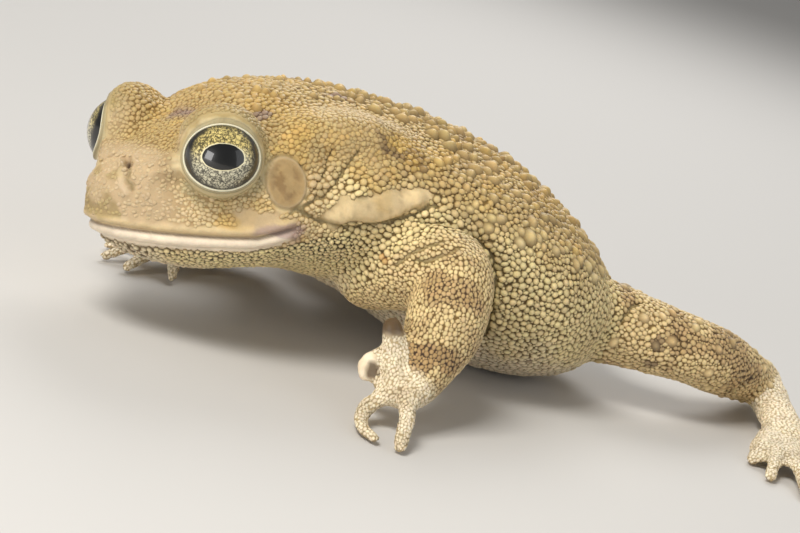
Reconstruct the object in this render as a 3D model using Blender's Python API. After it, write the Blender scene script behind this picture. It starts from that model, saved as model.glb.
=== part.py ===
"""African common toad, a still life-size model.

The toad faces -Y with its left side at +X, and rests on the floor z = 0.
Sizes are in millimetres and become metres where a mesh is made.
Head and trunk are first made straight and level, in the body frame: x to the
toad's left, y back from the snout tip, z up from the chin. The spine then
bends them into the pose. The limbs are placed directly in the pose.
"""

import bmesh
import bpy
import numpy as np
from mathutils import Matrix, Vector

MM = 0.001
GAP = 0.3                      # clearance kept between two pieces that touch
SNOUT_TO_VENT = 96.0
HEAD_SKIN_VOXEL = 0.6          # grid of the remesh that fuses the shapes of the body
LIMB_VOXEL = 0.55
BODY_SMOOTHING = 6             # rounds of smoothing after the remesh
LIMB_SMOOTHING = 2
NECK_Y = 29.0                  # cut between head and trunk
CUT_SPAN = 60.0                # how far the cuts of neck and mouth reach, past every side of the body
FLOOR_CUT = ((-200, -200, -60), (200, 300, 0))    # the block cut away below the floor, larger than the toad
SHARP_ANGLE = 50.0             # edges bent more than this stay sharp

# The spine: distance back from the snout, then nose up, nose to the left and
# left side up, in degrees.
SPINE = (
    (0, -8.0, 13.3, 11.3),
    (26, -8.0, 13.3, 11.3),
    (38, -2.0, 7.5, 8.5),
    (50, 7.0, 2.0, 5.5),
    (64, 10.0, 0.0, 3.5),
    (80, 9.0, -2.0, 1.5),
    (100, 6.0, -2.0, 0.0),
)
SPINE_EASE = 5.0               # half length over which each bend is rounded
SNOUT = (8.0, 0.0, 16.5)       # where the snout tip is in the pose
SNOUT_HEIGHT = 11.6            # height of the tip over the chin line
MIDDLE = (-8.5, 69.1)          # the point of the pose that lies over the origin, the middle of its box

# Stations of the body: distance back, height of the widest level, half width,
# rise above that level and depth below it.
BODY = (
    (2.2, 11.4, 1.2, 2.0, 1.6),
    (2.9, 11.3, 3.4, 3.6, 2.9),
    (4.6, 11.0, 5.4, 6.1, 4.3),
    (8.0, 10.3, 8.2, 8.8, 5.8),
    (12.0, 9.8, 11.6, 11.4, 6.8),
    (17.0, 9.8, 14.6, 13.7, 7.8),
    (22.0, 10.5, 16.7, 16.3, 8.8),
    (27.0, 11.5, 18.0, 16.8, 10.0),
    (33.0, 13.0, 19.4, 15.7, 12.0),
    (42.0, 14.0, 21.5, 14.2, 14.5),
    (52.0, 13.5, 24.0, 14.2, 16.4),
    (62.0, 12.5, 25.5, 14.6, 18.0),
    (72.0, 11.0, 25.0, 14.0, 17.0),
    (80.0, 10.0, 21.5, 12.4, 15.2),
    (87.0, 8.5, 16.5, 10.4, 11.6),
    (92.0, 8.0, 11.0, 8.0, 7.5),
    (95.6, 7.6, 5.6, 5.0, 4.8),
    (97.2, 7.4, 1.6, 1.6, 1.6),
)
HEAD_SQUARENESS = 2.5          # exponent of the upper section at the head
TRUNK_SQUARENESS = 2.0
BELLY_SQUARENESS = 2.2

EYE = (11.7, 15.3, 19.4)       # centre of the left eyeball
EYE_RADIUS = 5.5
EYE_TURN = 56.0                # the eye looks this far round from straight ahead
EYE_LIFT = 11.0
LID_RADII = (6.3, 6.7, 6.4)    # the swelling that carries the lids: along the gaze, along the head, up
LID_INSET = 0.7                # its centre lies this far inside the eyeball's
LID_RISE = 1.5                 # and this far above it
BROW = ((9.2, 11.6, 18.8, 2.6, 2.3), (6.4, 9.2, 17.3, 2.0, 2.0), (4.3, 7.2, 15.9, 1.7, 1.7))
EYE_OPENING = (5.2, 4.5)       # half length and half height between the lids
OPENING_DEPTHS = (0.4, 12.0)   # the bore between the lids starts and ends this far out along the gaze

MOUTH = ((-3.0, 9.3), (2.0, 9.0), (8.0, 8.5), (16.0, 8.3), (20.0, 8.3), (24.0, 9.4), (32.0, 11.3))
LIP = 0.85                     # radius of the rolled lip
LIP_SINK = 0.45                # share of it that lies inside the core
LIP_TAPER = 0.55               # share by which it thins towards its ends
LIP_SET_BACK = 0.9             # radii by which its middle lies behind the edge of the snout
LIP_END = 22.0                 # distance back at which it ends
NOSTRIL = (2.3, 6.1, 17.5)
NOSTRIL_RIM = 1.15
NOSTRIL_PIT = 0.5
PIT_PLACE = (0.55, -0.75, 0.45)    # from the rim's centre, in its radii
PIT_STRETCH = 1.5
EAR = (17.0, 23.5, 16.1)       # centre of the left eardrum
EAR_SIZE = (3.1, 3.8)          # half length and half height
EAR_THICK = 0.9
EAR_TURN = 97.0

PAROTOID = ((12.4, 34.5, 21.6), (5.6, 11.5, 5.2))
NECK_ROLL = ((17.2, 37.5, 14.4), (4.8, 8.0, 4.6))

# Limbs in the pose: x, y, z, half width and half height along each centre line.
LEFT_ARM = {
    "upper_arm": ((12, 46, 17.5, 6.5, 8.5), (18, 48, 19.3, 6.6, 7.8),
                  (23, 50.0, 20.2, 6.2, 7.0), (26.6, 51.2, 19.6, 5.9, 6.4)),
    "forearm": ((26.6, 51.2, 19.6, 5.9, 6.4), (28.6, 50.5, 16.4, 6.1, 6.3),
                (31.0, 49.0, 12.4, 5.7, 5.8), (33.4, 46.8, 8.8, 4.4, 4.4)),
    "hand": ((33.4, 46.8, 8.8, 4.4, 4.4), (35.0, 44.8, 6.6, 3.6, 3.3), (36.0, 42.0, 5.2, 4.2, 2.5)),
}
LEFT_THUMB = ((34.2, 42.0, 6.2, 2.6, 2.4), (32.4, 41.2, 10.0, 2.1, 2.0), (31.2, 40.5, 13.1, 1.9, 1.8))
LEFT_FINGERS = (
    ((33.6, 42.2, 7.4, 1.8, 1.6), (31.0, 40.0, 8.6, 1.4, 1.3), (30.2, 38.6, 7.0, 1.4, 1.3),
     (31.0, 38.7, 5.2, 1.4, 1.3)),
    ((35.0, 41.0, 5.0, 1.8, 1.6), (35.6, 37.4, 2.0, 1.5, 1.4), (39.6, 35.4, 0.9, 1.3, 1.2),
     (42.8, 35.8, 0.75, 1.15, 1.1)),
    ((38.0, 42.2, 5.2, 1.8, 1.6), (41.6, 40.6, 3.8, 1.5, 1.4), (45.2, 38.6, 0.75, 1.3, 1.1)),
)
RIGHT_ARM = {
    "upper_arm": ((-12, 46, 14.5, 6.0, 7.5), (-18, 49, 14.5, 6.0, 7.0),
                  (-24, 51, 12.5, 5.6, 6.0), (-27.5, 51, 10, 5.2, 5.6)),
    "forearm": ((-27.5, 51, 10, 5.2, 5.6), (-28.0, 46, 8, 5.4, 5.4),
                (-25.6, 39, 5.6, 4.6, 4.2), (-23.4, 33, 4.0, 3.6, 3.0)),
    "hand": ((-23.4, 33, 4.0, 3.8, 2.8), (-21.6, 29.5, 3.2, 4.4, 2.4)),
}
RIGHT_FINGERS = (
    ((-20.8, 31.0, 3.2, 1.6, 1.5), (-17.6, 29.8, 2.6, 1.5, 1.4), (-14.6, 28.6, 0.75, 1.3, 1.1)),
    ((-20.6, 29.0, 3.2, 1.6, 1.5), (-18.2, 25.2, 2.6, 1.5, 1.4), (-16.4, 21.6, 0.75, 1.3, 1.1)),
    ((-22.0, 28.2, 3.2, 1.6, 1.5), (-21.6, 24.0, 2.6, 1.4, 1.3), (-20.8, 19.6, 0.75, 1.2, 1.1)),
    ((-23.4, 29.2, 3.2, 1.6, 1.5), (-25.6, 26.0, 2.6, 1.4, 1.3), (-27.0, 22.6, 0.75, 1.2, 1.1)),
)
LEFT_LEG = {
    "thigh": ((9.5, 78, 12.5, 7.0, 7.2), (9.5, 87, 12.6, 7.4, 7.2),
              (12.6, 96, 12.2, 6.4, 6.4), (16, 106, 11.3, 5.4, 5.6)),
    "shank": ((16, 106, 11.3, 5.4, 5.6), (14.6, 114, 9.6, 5.5, 5.5),
              (10.8, 124, 6.8, 4.6, 4.6), (5.8, 133, 4.3, 3.6, 3.6)),
    "tarsus": ((5.8, 133, 4.3, 3.6, 3.6), (14.4, 128.8, 3.7, 3.6, 3.1),
               (23.4, 124.4, 3.2, 3.8, 2.7)),
    "foot": ((23.4, 124.4, 3.2, 3.8, 2.7), (28.4, 121.6, 2.8, 4.6, 2.2)),
}
LEFT_TOES = (
    ((26.0, 120.6, 2.8, 1.8, 1.6), (28.2, 117.0, 2.3, 1.6, 1.4), (29.4, 114.6, 0.75, 1.3, 1.1)),
    ((27.6, 120.0, 2.8, 1.8, 1.6), (31.6, 114.6, 2.3, 1.6, 1.4), (34.4, 110.6, 0.75, 1.3, 1.1)),
    ((29.0, 120.0, 2.8, 1.9, 1.6), (35.6, 114.0, 2.4, 1.6, 1.4), (40.6, 109.4, 0.75, 1.3, 1.1)),
    ((29.4, 121.0, 2.8, 2.0, 1.7), (39.4, 115.8, 2.4, 1.7, 1.4), (47.6, 111.6, 0.75, 1.3, 1.1)),
    ((29.0, 122.6, 2.8, 1.9, 1.6), (36.8, 120.4, 2.3, 1.6, 1.4), (43.4, 118.6, 0.75, 1.3, 1.1)),
)
RIGHT_LEG = {
    "thigh": ((-9.5, 79, 12.5, 6.5, 7.0), (-16, 77, 12.5, 8.0, 7.4),
              (-26, 71, 11.4, 7.0, 6.8), (-35.5, 66.0, 10.0, 5.6, 5.8)),
    "shank": ((-35.5, 66.0, 10.0, 5.6, 5.8), (-37.4, 75, 9.0, 5.8, 5.8),
              (-34.4, 85, 6.8, 4.8, 4.8), (-29, 94, 4.6, 3.6, 3.5)),
    "tarsus": ((-29, 94, 4.6, 3.6, 3.5), (-36.0, 92.4, 3.8, 3.5, 3.0),
               (-43.6, 88.6, 3.2, 3.5, 2.6)),
    "foot": ((-43.6, 88.6, 3.2, 3.5, 2.6), (-47.6, 85.4, 2.9, 4.4, 2.2)),
}
RIGHT_TOES = (
    ((-44.6, 85.6, 2.8, 1.7, 1.5), (-44.6, 80.8, 2.2, 1.5, 1.3), (-44.2, 77.4, 0.75, 1.2, 1.1)),
    ((-46.0, 84.6, 2.8, 1.7, 1.5), (-48.2, 77.8, 2.2, 1.5, 1.3), (-49.6, 72.6, 0.75, 1.2, 1.1)),
    ((-47.6, 84.2, 2.8, 1.8, 1.5), (-52.6, 76.4, 2.3, 1.5, 1.3), (-56.4, 70.2, 0.75, 1.2, 1.1)),
    ((-48.4, 84.8, 2.8, 1.9, 1.6), (-57.2, 78.0, 2.3, 1.6, 1.3), (-64.8, 71.8, 0.75, 1.2, 1.1)),
    ((-48.6, 86.6, 2.8, 1.8, 1.5), (-56.0, 83.6, 2.2, 1.5, 1.3), (-62.4, 81.0, 0.75, 1.2, 1.1)),
)

JOINT_MARGIN = 3.5             # how far a joint's cut reaches past where two lengths touch

# Warts on the back: radii, how deep they sit as a share of the radius, the distances back
# between which they stand, their spacing, and the degrees from the midline that they spread.
WART_RADII = (1.0, 1.2, 1.5)
WART_SINK = 0.45
WART_ROWS = (41.0, 92.0)
WART_SPACING = 6.4
WART_SPREAD = 72
WART_ANGLE = 21
WART_SEED = 7
WART_SWING = 4                 # degrees by which a wart may stand off its place in the row
WART_SHIFT = 1.2               # and how far along the back
WART_REACH = (40, 12, 34)      # the arc over the back from which they drop: half width, base and rise
GLAND_MARGIN = 1.25            # the warts keep off the parotoid glands, grown by this factor

TRIANGLES = {"body": 3900, "arm": 760, "leg": 920}    # left after decimation


def through(rows, samples):
    """A smooth curve through the rows of a table: Catmull-Rom, with samples between each two rows."""
    rows = np.asarray(rows, float)
    held = np.vstack([2 * rows[0] - rows[1], rows, 2 * rows[-1] - rows[-2]])
    before, start, end, after = (held[i : i + len(rows) - 1, None] for i in range(4))
    t = np.linspace(0, 1, samples, endpoint=False)[None, :, None]
    curve = 0.5 * (
        2 * start
        + (end - before) * t
        + (2 * before - 5 * start + 4 * end - after) * t**2
        + (3 * start - before - 3 * end + after) * t**3
    )
    return np.vstack([curve.reshape(-1, rows.shape[1]), rows[-1]])


def turned(pitch, yaw, roll):
    """Rotation matrices: nose up by pitch, nose to the left by yaw, left side up by roll, in degrees."""
    pitch, yaw, roll = (np.radians(np.asarray(angle, float)) for angle in (pitch, yaw, roll))
    none, one = np.zeros_like(pitch), np.ones_like(pitch)

    def matrix(*cells):
        return np.stack(cells, -1).reshape(pitch.shape + (3, 3))

    about_z = matrix(np.cos(yaw), -np.sin(yaw), none, np.sin(yaw), np.cos(yaw), none, none, none, one)
    about_x = matrix(one, none, none, none, np.cos(pitch), np.sin(pitch), none, -np.sin(pitch), np.cos(pitch))
    about_y = matrix(np.cos(roll), none, -np.sin(roll), none, one, none, np.sin(roll), none, np.cos(roll))
    return about_z @ about_x @ about_y


class Spine:
    """Carries the straight body into the pose: each section keeps its shape and turns with the spine."""

    STEP = 0.25

    def __init__(self):
        rows = np.asarray(SPINE, float)
        self.y = np.arange(-6.0, SNOUT_TO_VENT + 8.0, self.STEP)
        ease = np.hanning(int(2 * SPINE_EASE / self.STEP) + 1)
        ease /= ease.sum()
        reach = len(ease) // 2
        angles = [
            np.convolve(np.pad(np.interp(self.y, rows[:, 0], column), reach, mode="edge"), ease, "valid")
            for column in rows.T[1:]
        ]
        self.turn = turned(*angles)
        back = self.turn[:, :, 1]
        steps = (back[1:] + back[:-1]) / 2 * self.STEP
        line = np.vstack([np.zeros(3), np.cumsum(steps, axis=0)])
        tip = int(np.argmin(abs(self.y)))
        self.line = line - line[tip] + np.array(SNOUT) - self.turn[tip] @ np.array([0, 0, SNOUT_HEIGHT])

    def bend(self, points):
        points = np.asarray(points, float)
        y = points[:, 1]
        on_line = np.stack([np.interp(y, self.y, self.line[:, i]) for i in range(3)], 1)
        turn = np.stack([np.interp(y, self.y, self.turn[:, i, j]) for i in range(3) for j in range(3)], 1)
        across = np.stack([points[:, 0], np.zeros(len(points)), points[:, 2]], 1)
        return on_line + np.einsum("nij,nj->ni", turn.reshape(-1, 3, 3), across)


SPINE_CURVE = Spine()


def mesh_object(name, points, faces):
    mesh = bpy.data.meshes.new(name)
    mesh.from_pydata((np.asarray(points, float) * MM).tolist(), [], [list(face) for face in faces])
    mesh.validate()
    part = bpy.data.objects.new(name, mesh)
    bpy.context.scene.collection.objects.link(part)
    return part


def rings_to_mesh(name, rings):
    """A closed surface through rings of points, each end closed by a fan."""
    rings = np.asarray(rings, float)
    count, around, _ = rings.shape
    row = np.arange(count - 1)[:, None] * around
    here = np.arange(around)[None]
    after = (here + 1) % around
    sides = np.stack([row + here, row + after, row + around + after, row + around + here], -1).reshape(-1, 4)
    points = np.vstack([rings.reshape(-1, 3), rings[0].mean(0), rings[-1].mean(0)])
    first, last = count * around, count * around + 1
    start = [(first, (i + 1) % around, i) for i in range(around)]
    end = [(last, first - around + i, first - around + (i + 1) % around) for i in range(around)]
    return mesh_object(name, points, sides.tolist() + start + end)


def body_section(stations):
    """Rise, depth and squareness of the sections, from head to trunk."""
    y, level, half, rise, depth = stations.T
    trunk = np.clip((y - 20) / 30, 0, 1)
    squareness = HEAD_SQUARENESS + (TRUNK_SQUARENESS - HEAD_SQUARENESS) * trunk
    return y, level, np.maximum(half, 0.1), np.maximum(rise, 0.1), np.maximum(depth, 0.1), squareness


def body_core(around=56):
    """Head and trunk as one loft: superellipse sections along the stations of BODY."""
    y, level, half, rise, depth, upper = (column[:, None] for column in body_section(through(BODY, 6)))
    angle = np.linspace(0, 2 * np.pi, around, endpoint=False)[None]
    cos, sin = np.cos(angle), np.sin(angle)
    exponent = np.where(sin > 0, upper, BELLY_SQUARENESS)
    x = half * np.sign(cos) * abs(cos) ** (2 / exponent)
    z = level + np.where(sin > 0, rise, depth) * np.sign(sin) * abs(sin) ** (2 / exponent)
    return rings_to_mesh("core", np.stack([x, y + 0 * x, z], -1)[:, ::-1])


def body_half_width(y, z):
    """Half width of the core at distances back and heights."""
    curve = through(BODY, 12)
    stations = np.stack([np.interp(y, curve[:, 0], curve[:, i]) for i in range(5)], -1)
    _, level, half, rise, depth, upper = body_section(stations)
    above = z > level
    share = np.clip(abs(z - level) / np.where(above, rise, depth), 0, 0.999)
    exponent = np.where(above, upper, BELLY_SQUARENESS)
    return half * (1 - share**exponent) ** (1 / exponent)


def tube(name, rows, around=14, samples=5):
    """A limb's length: ellipses across a smooth centre line, round at both ends."""
    curve = through(rows, samples)
    centre, half_width, half_height = curve[:, :3], curve[:, 3], curve[:, 4]
    along = np.gradient(centre, axis=0)
    along /= np.linalg.norm(along, axis=1)[:, None]
    side = np.cross(along, (0, 0, 1.0))
    steep = np.linalg.norm(side, axis=1) < 0.15
    side[steep] = np.cross(along[steep], (0, 1.0, 0))
    side /= np.linalg.norm(side, axis=1)[:, None]
    upward = np.cross(side, along)
    angle = np.linspace(0, 2 * np.pi, around, endpoint=False)
    rings = (
        centre[:, None]
        + side[:, None] * (half_width[:, None] * np.cos(angle))[..., None]
        + upward[:, None] * (half_height[:, None] * np.sin(angle))[..., None]
    )

    def cap(i, direction):
        radius = min(half_width[i], half_height[i])
        return [
            centre[i] + along[i] * direction * radius * share + (rings[i] - centre[i]) * np.sqrt(1 - share**2)
            for share in (0.4, 0.75, 0.95)
        ]

    return rings_to_mesh(name, np.array(cap(0, -1)[::-1] + list(rings) + cap(-1, 1))[:, ::-1])


def ellipsoid(name, centre, radii, turn=(0, 0, 0), rings=10, around=18):
    """An ellipsoid, turned by pitch, yaw and roll before it is placed."""
    height = np.linspace(0, np.pi, rings + 2)[1:-1, None]
    angle = np.linspace(0, 2 * np.pi, around, endpoint=False)[None]
    level = np.cos(height) + 0 * angle
    unit = np.stack([np.sin(height) * np.cos(angle), np.sin(height) * np.sin(angle), level], -1)
    poles = np.array([[0, 0, 1.0]]), np.array([[0, 0, -1.0]])
    points = np.vstack([unit.reshape(-1, 3), *poles]) * np.asarray(radii, float)
    points = points @ turned(*turn).T + np.asarray(centre, float)
    row = np.arange(rings - 1)[:, None] * around
    here = np.arange(around)[None]
    after = (here + 1) % around
    sides = np.stack([row + here, row + around + here, row + around + after, row + after], -1).reshape(-1, 4)
    top, bottom, last = rings * around, rings * around + 1, (rings - 1) * around
    fans = [(top, i, (i + 1) % around) for i in range(around)]
    fans += [(bottom, last + (i + 1) % around, last + i) for i in range(around)]
    return mesh_object(name, points, sides.tolist() + fans)


def applied(part):
    """Replaces the object's mesh by the one that its modifiers make."""
    graph = bpy.context.evaluated_depsgraph_get()
    mesh = bpy.data.meshes.new_from_object(part.evaluated_get(graph))
    part.modifiers.clear()
    old, part.data = part.data, mesh
    bpy.data.meshes.remove(old)
    return part


def removed(*parts):
    for part in parts:
        bpy.data.objects.remove(part)


def fused(name, parts, voxel, smoothing):
    """One closed skin over overlapping shapes: voxel remesh, then smoothed."""
    joined = bmesh.new()
    for part in parts:
        joined.from_mesh(part.data)
    mesh = bpy.data.meshes.new(name)
    joined.to_mesh(mesh)
    joined.free()
    removed(*parts)
    skin = bpy.data.objects.new(name, mesh)
    bpy.context.scene.collection.objects.link(skin)
    remesh = skin.modifiers.new("fuse", "REMESH")
    remesh.mode = "VOXEL"
    remesh.voxel_size = voxel * MM
    smooth = skin.modifiers.new("smooth", "SMOOTH")
    smooth.factor = 0.5
    smooth.iterations = smoothing
    return applied(skin)


def decimated(part, triangles):
    part.data.calc_loop_triangles()
    decimate = part.modifiers.new("fewer", "DECIMATE")
    decimate.ratio = min(1.0, triangles / len(part.data.loop_triangles))
    decimate.use_collapse_triangulate = True
    return applied(part)


def largest_shell(part):
    """Keeps the largest closed surface of the object and drops the rest."""
    mesh = bmesh.new()
    mesh.from_mesh(part.data)
    bmesh.ops.triangulate(mesh, faces=mesh.faces)
    left = set(mesh.faces)
    shells = []
    while left:
        shell, edge = set(), [left.pop()]
        while edge:
            face = edge.pop()
            shell.add(face)
            for side in face.edges:
                for other in side.link_faces:
                    if other in left:
                        left.remove(other)
                        edge.append(other)
        volume = sum(f.verts[0].co.dot(f.verts[1].co.cross(f.verts[2].co)) for f in shell)
        shells.append((volume, shell))
    keep = max(shells, key=lambda pair: pair[0])[1]
    bmesh.ops.delete(mesh, geom=[face for face in mesh.faces if face not in keep], context="FACES")
    mesh.to_mesh(part.data)
    mesh.free()
    return part


def boolean(part, others, operation):
    """One Boolean with a collection of closed shapes, which are removed after it."""
    group = bpy.data.collections.new("cutters")
    bpy.context.scene.collection.children.link(group)
    for other in others:
        group.objects.link(other)
    modifier = part.modifiers.new("boolean", "BOOLEAN")
    modifier.operation = operation
    modifier.operand_type = "COLLECTION"
    modifier.collection = group
    modifier.solver = "EXACT"
    applied(part)
    removed(*others)
    bpy.data.collections.remove(group)
    return part


def grown(part):
    """A copy whose surface lies GAP further out."""
    twin = bpy.data.objects.new("clear", part.data.copy())
    bpy.context.scene.collection.objects.link(twin)
    count = len(twin.data.vertices)
    points, normals = np.empty(count * 3), np.empty(count * 3)
    twin.data.vertices.foreach_get("co", points)
    twin.data.vertex_normals.foreach_get("vector", normals)
    twin.data.vertices.foreach_set("co", points + normals * GAP * MM)
    return twin


def ribbon(name, line, thick=GAP):
    """A thin sheet: a line in the y-z plane, given its thickness and carried right across the body."""
    line = np.asarray(line, float)
    along = np.gradient(line, axis=0)
    along /= np.linalg.norm(along, axis=1)[:, None]
    normal = np.stack([-along[:, 1], along[:, 0]], 1) * thick / 2
    outline = np.vstack([line + normal, (line - normal)[::-1]])
    count = len(outline)
    points = [(x, y, z) for x in (-CUT_SPAN, CUT_SPAN) for y, z in outline]
    sides = [(i, (i + 1) % count, count + (i + 1) % count, count + i) for i in range(count)]
    part = mesh_object(name, points, sides + [tuple(range(count))[::-1], tuple(range(count, 2 * count))])
    mesh = bmesh.new()
    mesh.from_mesh(part.data)
    bmesh.ops.triangulate(mesh, faces=mesh.faces)
    bmesh.ops.recalc_face_normals(mesh, faces=mesh.faces)
    mesh.to_mesh(part.data)
    mesh.free()
    return part


def box(name, low, high):
    low, high = np.asarray(low, float), np.asarray(high, float)
    corners = [(x, y, z) for x in (low[0], high[0]) for y in (low[1], high[1]) for z in (low[2], high[2])]
    faces = [(0, 1, 3, 2), (4, 6, 7, 5), (0, 4, 5, 1), (2, 3, 7, 6), (0, 2, 6, 4), (1, 5, 7, 3)]
    return mesh_object(name, corners, faces)


def slab(name, point, normal, half_size):
    """A square plate GAP thick across a limb, for parting it at a joint."""
    part = box(name, (-half_size, -half_size, -GAP / 2), (half_size, half_size, GAP / 2))
    turn = Vector(normal).to_track_quat("Z", "Y").to_matrix().to_4x4()
    part.data.transform(Matrix.Translation(Vector(point) * MM) @ turn)
    return part


def shells_of(part):
    """Each closed surface of the object as an object of its own, largest first."""
    mesh = bmesh.new()
    mesh.from_mesh(part.data)
    left = set(mesh.faces)
    groups = []
    while left:
        shell, edge = [], [left.pop()]
        while edge:
            face = edge.pop()
            shell.append(face)
            for side in face.edges:
                for other in side.link_faces:
                    if other in left:
                        left.remove(other)
                        edge.append(other)
        groups.append([[(v.index, v.co.copy()) for v in face.verts] for face in shell])
    mesh.free()
    pieces = []
    for faces in sorted(groups, key=len, reverse=True):
        places = {index: co for face in faces for index, co in face}
        order = {index: i for i, index in enumerate(places)}
        points = np.array(list(places.values())) / MM
        pieces.append(mesh_object(part.name, points, [[order[index] for index, _ in face] for face in faces]))
    removed(part)
    return pieces


def centre_of(part):
    return np.mean([vertex.co for vertex in part.data.vertices], axis=0) / MM


def posed(part):
    """Bends a piece of head or trunk with the spine."""
    points = np.empty(len(part.data.vertices) * 3)
    part.data.vertices.foreach_get("co", points)
    bent = SPINE_CURVE.bend(points.reshape(-1, 3) / MM) * MM
    part.data.vertices.foreach_set("co", bent.ravel())
    part.data.update()
    return part


def eye_axis(side):
    turn, lift = np.radians([EYE_TURN, EYE_LIFT])
    return np.array([side * np.sin(turn) * np.cos(lift), -np.cos(turn) * np.cos(lift), np.sin(lift)])


def on_side(point, side):
    return np.asarray(point, float) * (side, 1, 1)


def lid_swelling(side):
    centre = on_side(EYE, side) - eye_axis(side) * LID_INSET + np.array([0, 0, LID_RISE])
    return ellipsoid("lids", centre, LID_RADII, turn=(0, side * (EYE_TURN - 90), 0), rings=20, around=32)


def brow(side):
    """The blunt ridge from the eye to the nostril."""
    return tube("brow", np.asarray(BROW) * (side, 1, 1, 1, 1))


def eye_opening(side, around=22):
    """The cutter that opens the lids: an elliptic bore from near the eyeball's middle out of the head."""
    axis = eye_axis(side)
    length = np.cross(axis, (0, 0, 1.0))
    length /= np.linalg.norm(length)
    height = np.cross(length, axis)
    angle = np.linspace(0, 2 * np.pi, around, endpoint=False)[:, None]
    rim = length * np.cos(angle) * EYE_OPENING[0] + height * np.sin(angle) * EYE_OPENING[1]
    centre = on_side(EYE, side)
    rings = [centre + axis * distance + rim for distance in OPENING_DEPTHS]
    part = rings_to_mesh("opening", rings)
    outward(part)
    return part


def outward(part):
    mesh = bmesh.new()
    mesh.from_mesh(part.data)
    bmesh.ops.recalc_face_normals(mesh, faces=mesh.faces)
    mesh.to_mesh(part.data)
    mesh.free()


def eardrum(name, side, grow=0.0):
    """A lens on the side of the head, its flat face turned outwards."""
    radii = np.array([EAR_THICK, EAR_SIZE[0], EAR_SIZE[1]]) + grow
    return ellipsoid(name, on_side(EAR, side), radii, turn=(0, side * (EAR_TURN - 90), 0), rings=5, around=14)


def mouth_height(y):
    line = np.asarray(MOUTH)
    return np.interp(y, line[:, 0], line[:, 1])


def lip(side_of_mouth, samples=15):
    """A rolled edge along the mouth, above it (+1) or below it (-1)."""
    offset = side_of_mouth * (LIP + GAP)
    ahead = np.linspace(BODY[0][0], LIP_END, 200)
    front = ahead[body_half_width(ahead, mouth_height(ahead) + offset) > LIP][0] + LIP * LIP_SET_BACK
    t = np.linspace(-1, 1, 2 * samples + 1)
    y = front + (LIP_END - front) * abs(t) ** 1.7
    z = mouth_height(y) + offset
    x = np.sign(t) * (body_half_width(y, z) - LIP_SINK * LIP)
    radius = LIP * (1 - LIP_TAPER * abs(t) ** 4)
    return tube("lip", np.stack([x, y, z, radius, radius], 1), around=6, samples=1)


def nostril_rim(side):
    return ellipsoid("rim", on_side(NOSTRIL, side), (NOSTRIL_RIM,) * 3, rings=5, around=10)


def nostril_pit(side):
    opening = on_side(NOSTRIL, side) + on_side(PIT_PLACE, side) * NOSTRIL_RIM
    return ellipsoid("pit", opening, (NOSTRIL_PIT, NOSTRIL_PIT, NOSTRIL_PIT * PIT_STRETCH), rings=4, around=8)


def warts(skin, sites, sizes):
    """Low rounded warts on the skin at the sites, sunk by a share of their radius."""
    found = []
    for site, radius in zip(sites, sizes):
        _, place, normal, _ = skin.closest_point_on_mesh(Vector(site) * MM)
        centre = np.array(place) / MM - np.array(normal) * radius * WART_SINK
        if not in_gland(centre):
            found.append(ellipsoid("wart", centre, (radius,) * 3, rings=4, around=8))
    return found


def in_gland(point):
    centre, radii = (np.asarray(row) for row in PAROTOID)
    away = np.array([abs(point[0]), point[1], point[2]]) - centre
    return np.linalg.norm(away / (radii * GLAND_MARGIN)) < 1


def back_sites(draw):
    """Staggered rows of sites over the back, from side to side."""
    sites = []
    for row, y in enumerate(np.arange(WART_ROWS[0], WART_ROWS[1], WART_SPACING)):
        for angle in np.arange(-WART_SPREAD, WART_SPREAD + 1, WART_ANGLE) + (row % 2) * WART_ANGLE / 2:
            turn = np.radians(angle + draw.uniform(-WART_SWING, WART_SWING))
            along = y + draw.uniform(-WART_SHIFT, WART_SHIFT)
            sites.append((WART_REACH[0] * np.sin(turn), along, WART_REACH[1] + WART_REACH[2] * np.cos(turn)))
    return sites


def make_body():
    """Head, lower jaw, eyes, eardrums and trunk, in the straight body frame."""
    shapes = [body_core()]
    for side in (1, -1):
        shapes.append(lid_swelling(side))
        shapes.append(brow(side))
        shapes.append(ellipsoid("gland", on_side(PAROTOID[0], side), PAROTOID[1], rings=14, around=24))
        shapes.append(ellipsoid("roll", on_side(NECK_ROLL[0], side), NECK_ROLL[1], rings=14, around=24))
    skin = decimated(fused("skin", shapes, HEAD_SKIN_VOXEL, BODY_SMOOTHING), TRIANGLES["body"])
    neck = ribbon("neck", ((NECK_Y, CUT_SPAN), (NECK_Y, -CUT_SPAN)))
    mouth = ribbon("mouth", MOUTH)
    boolean(skin, [neck, mouth], "DIFFERENCE")
    named = {}
    for shell in shells_of(skin)[:3]:
        x, y, z = centre_of(shell)
        kind = "trunk" if y > NECK_Y else "head" if z > mouth_height(y) else "lower_jaw"
        shell.name = kind
        named[kind] = shell
    return named


def finish_head(head, jaw):
    boolean(head, [lip(1)] + [nostril_rim(side) for side in (1, -1)], "UNION")
    cutters = [nostril_pit(side) for side in (1, -1)]
    for side in (1, -1):
        cutters.append(eye_opening(side))
        cutters.append(ellipsoid("socket", on_side(EYE, side), (EYE_RADIUS + GAP,) * 3, rings=8, around=16))
        cutters.append(eardrum("ear", side, GAP))
    boolean(head, cutters, "DIFFERENCE")
    boolean(jaw, [lip(-1)], "UNION")
    pieces = [head, jaw]
    for side, word in ((1, "left"), (-1, "right")):
        pieces.append(ellipsoid("eye_" + word, on_side(EYE, side), (EYE_RADIUS,) * 3, rings=9, around=18))
        pieces.append(eardrum("eardrum_" + word, side))
    return [largest_shell(piece) for piece in pieces]


def make_limb(kind, word, segments, digits, triangles):
    """One limb as a fused skin, before it is parted at its joints."""
    parts = [tube(name, rows) for name, rows in segments.items()]
    parts += [tube("digit", rows, around=10) for rows in digits]
    return decimated(fused(f"{kind}_{word}", parts, LIMB_VOXEL, LIMB_SMOOTHING), triangles)


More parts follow.
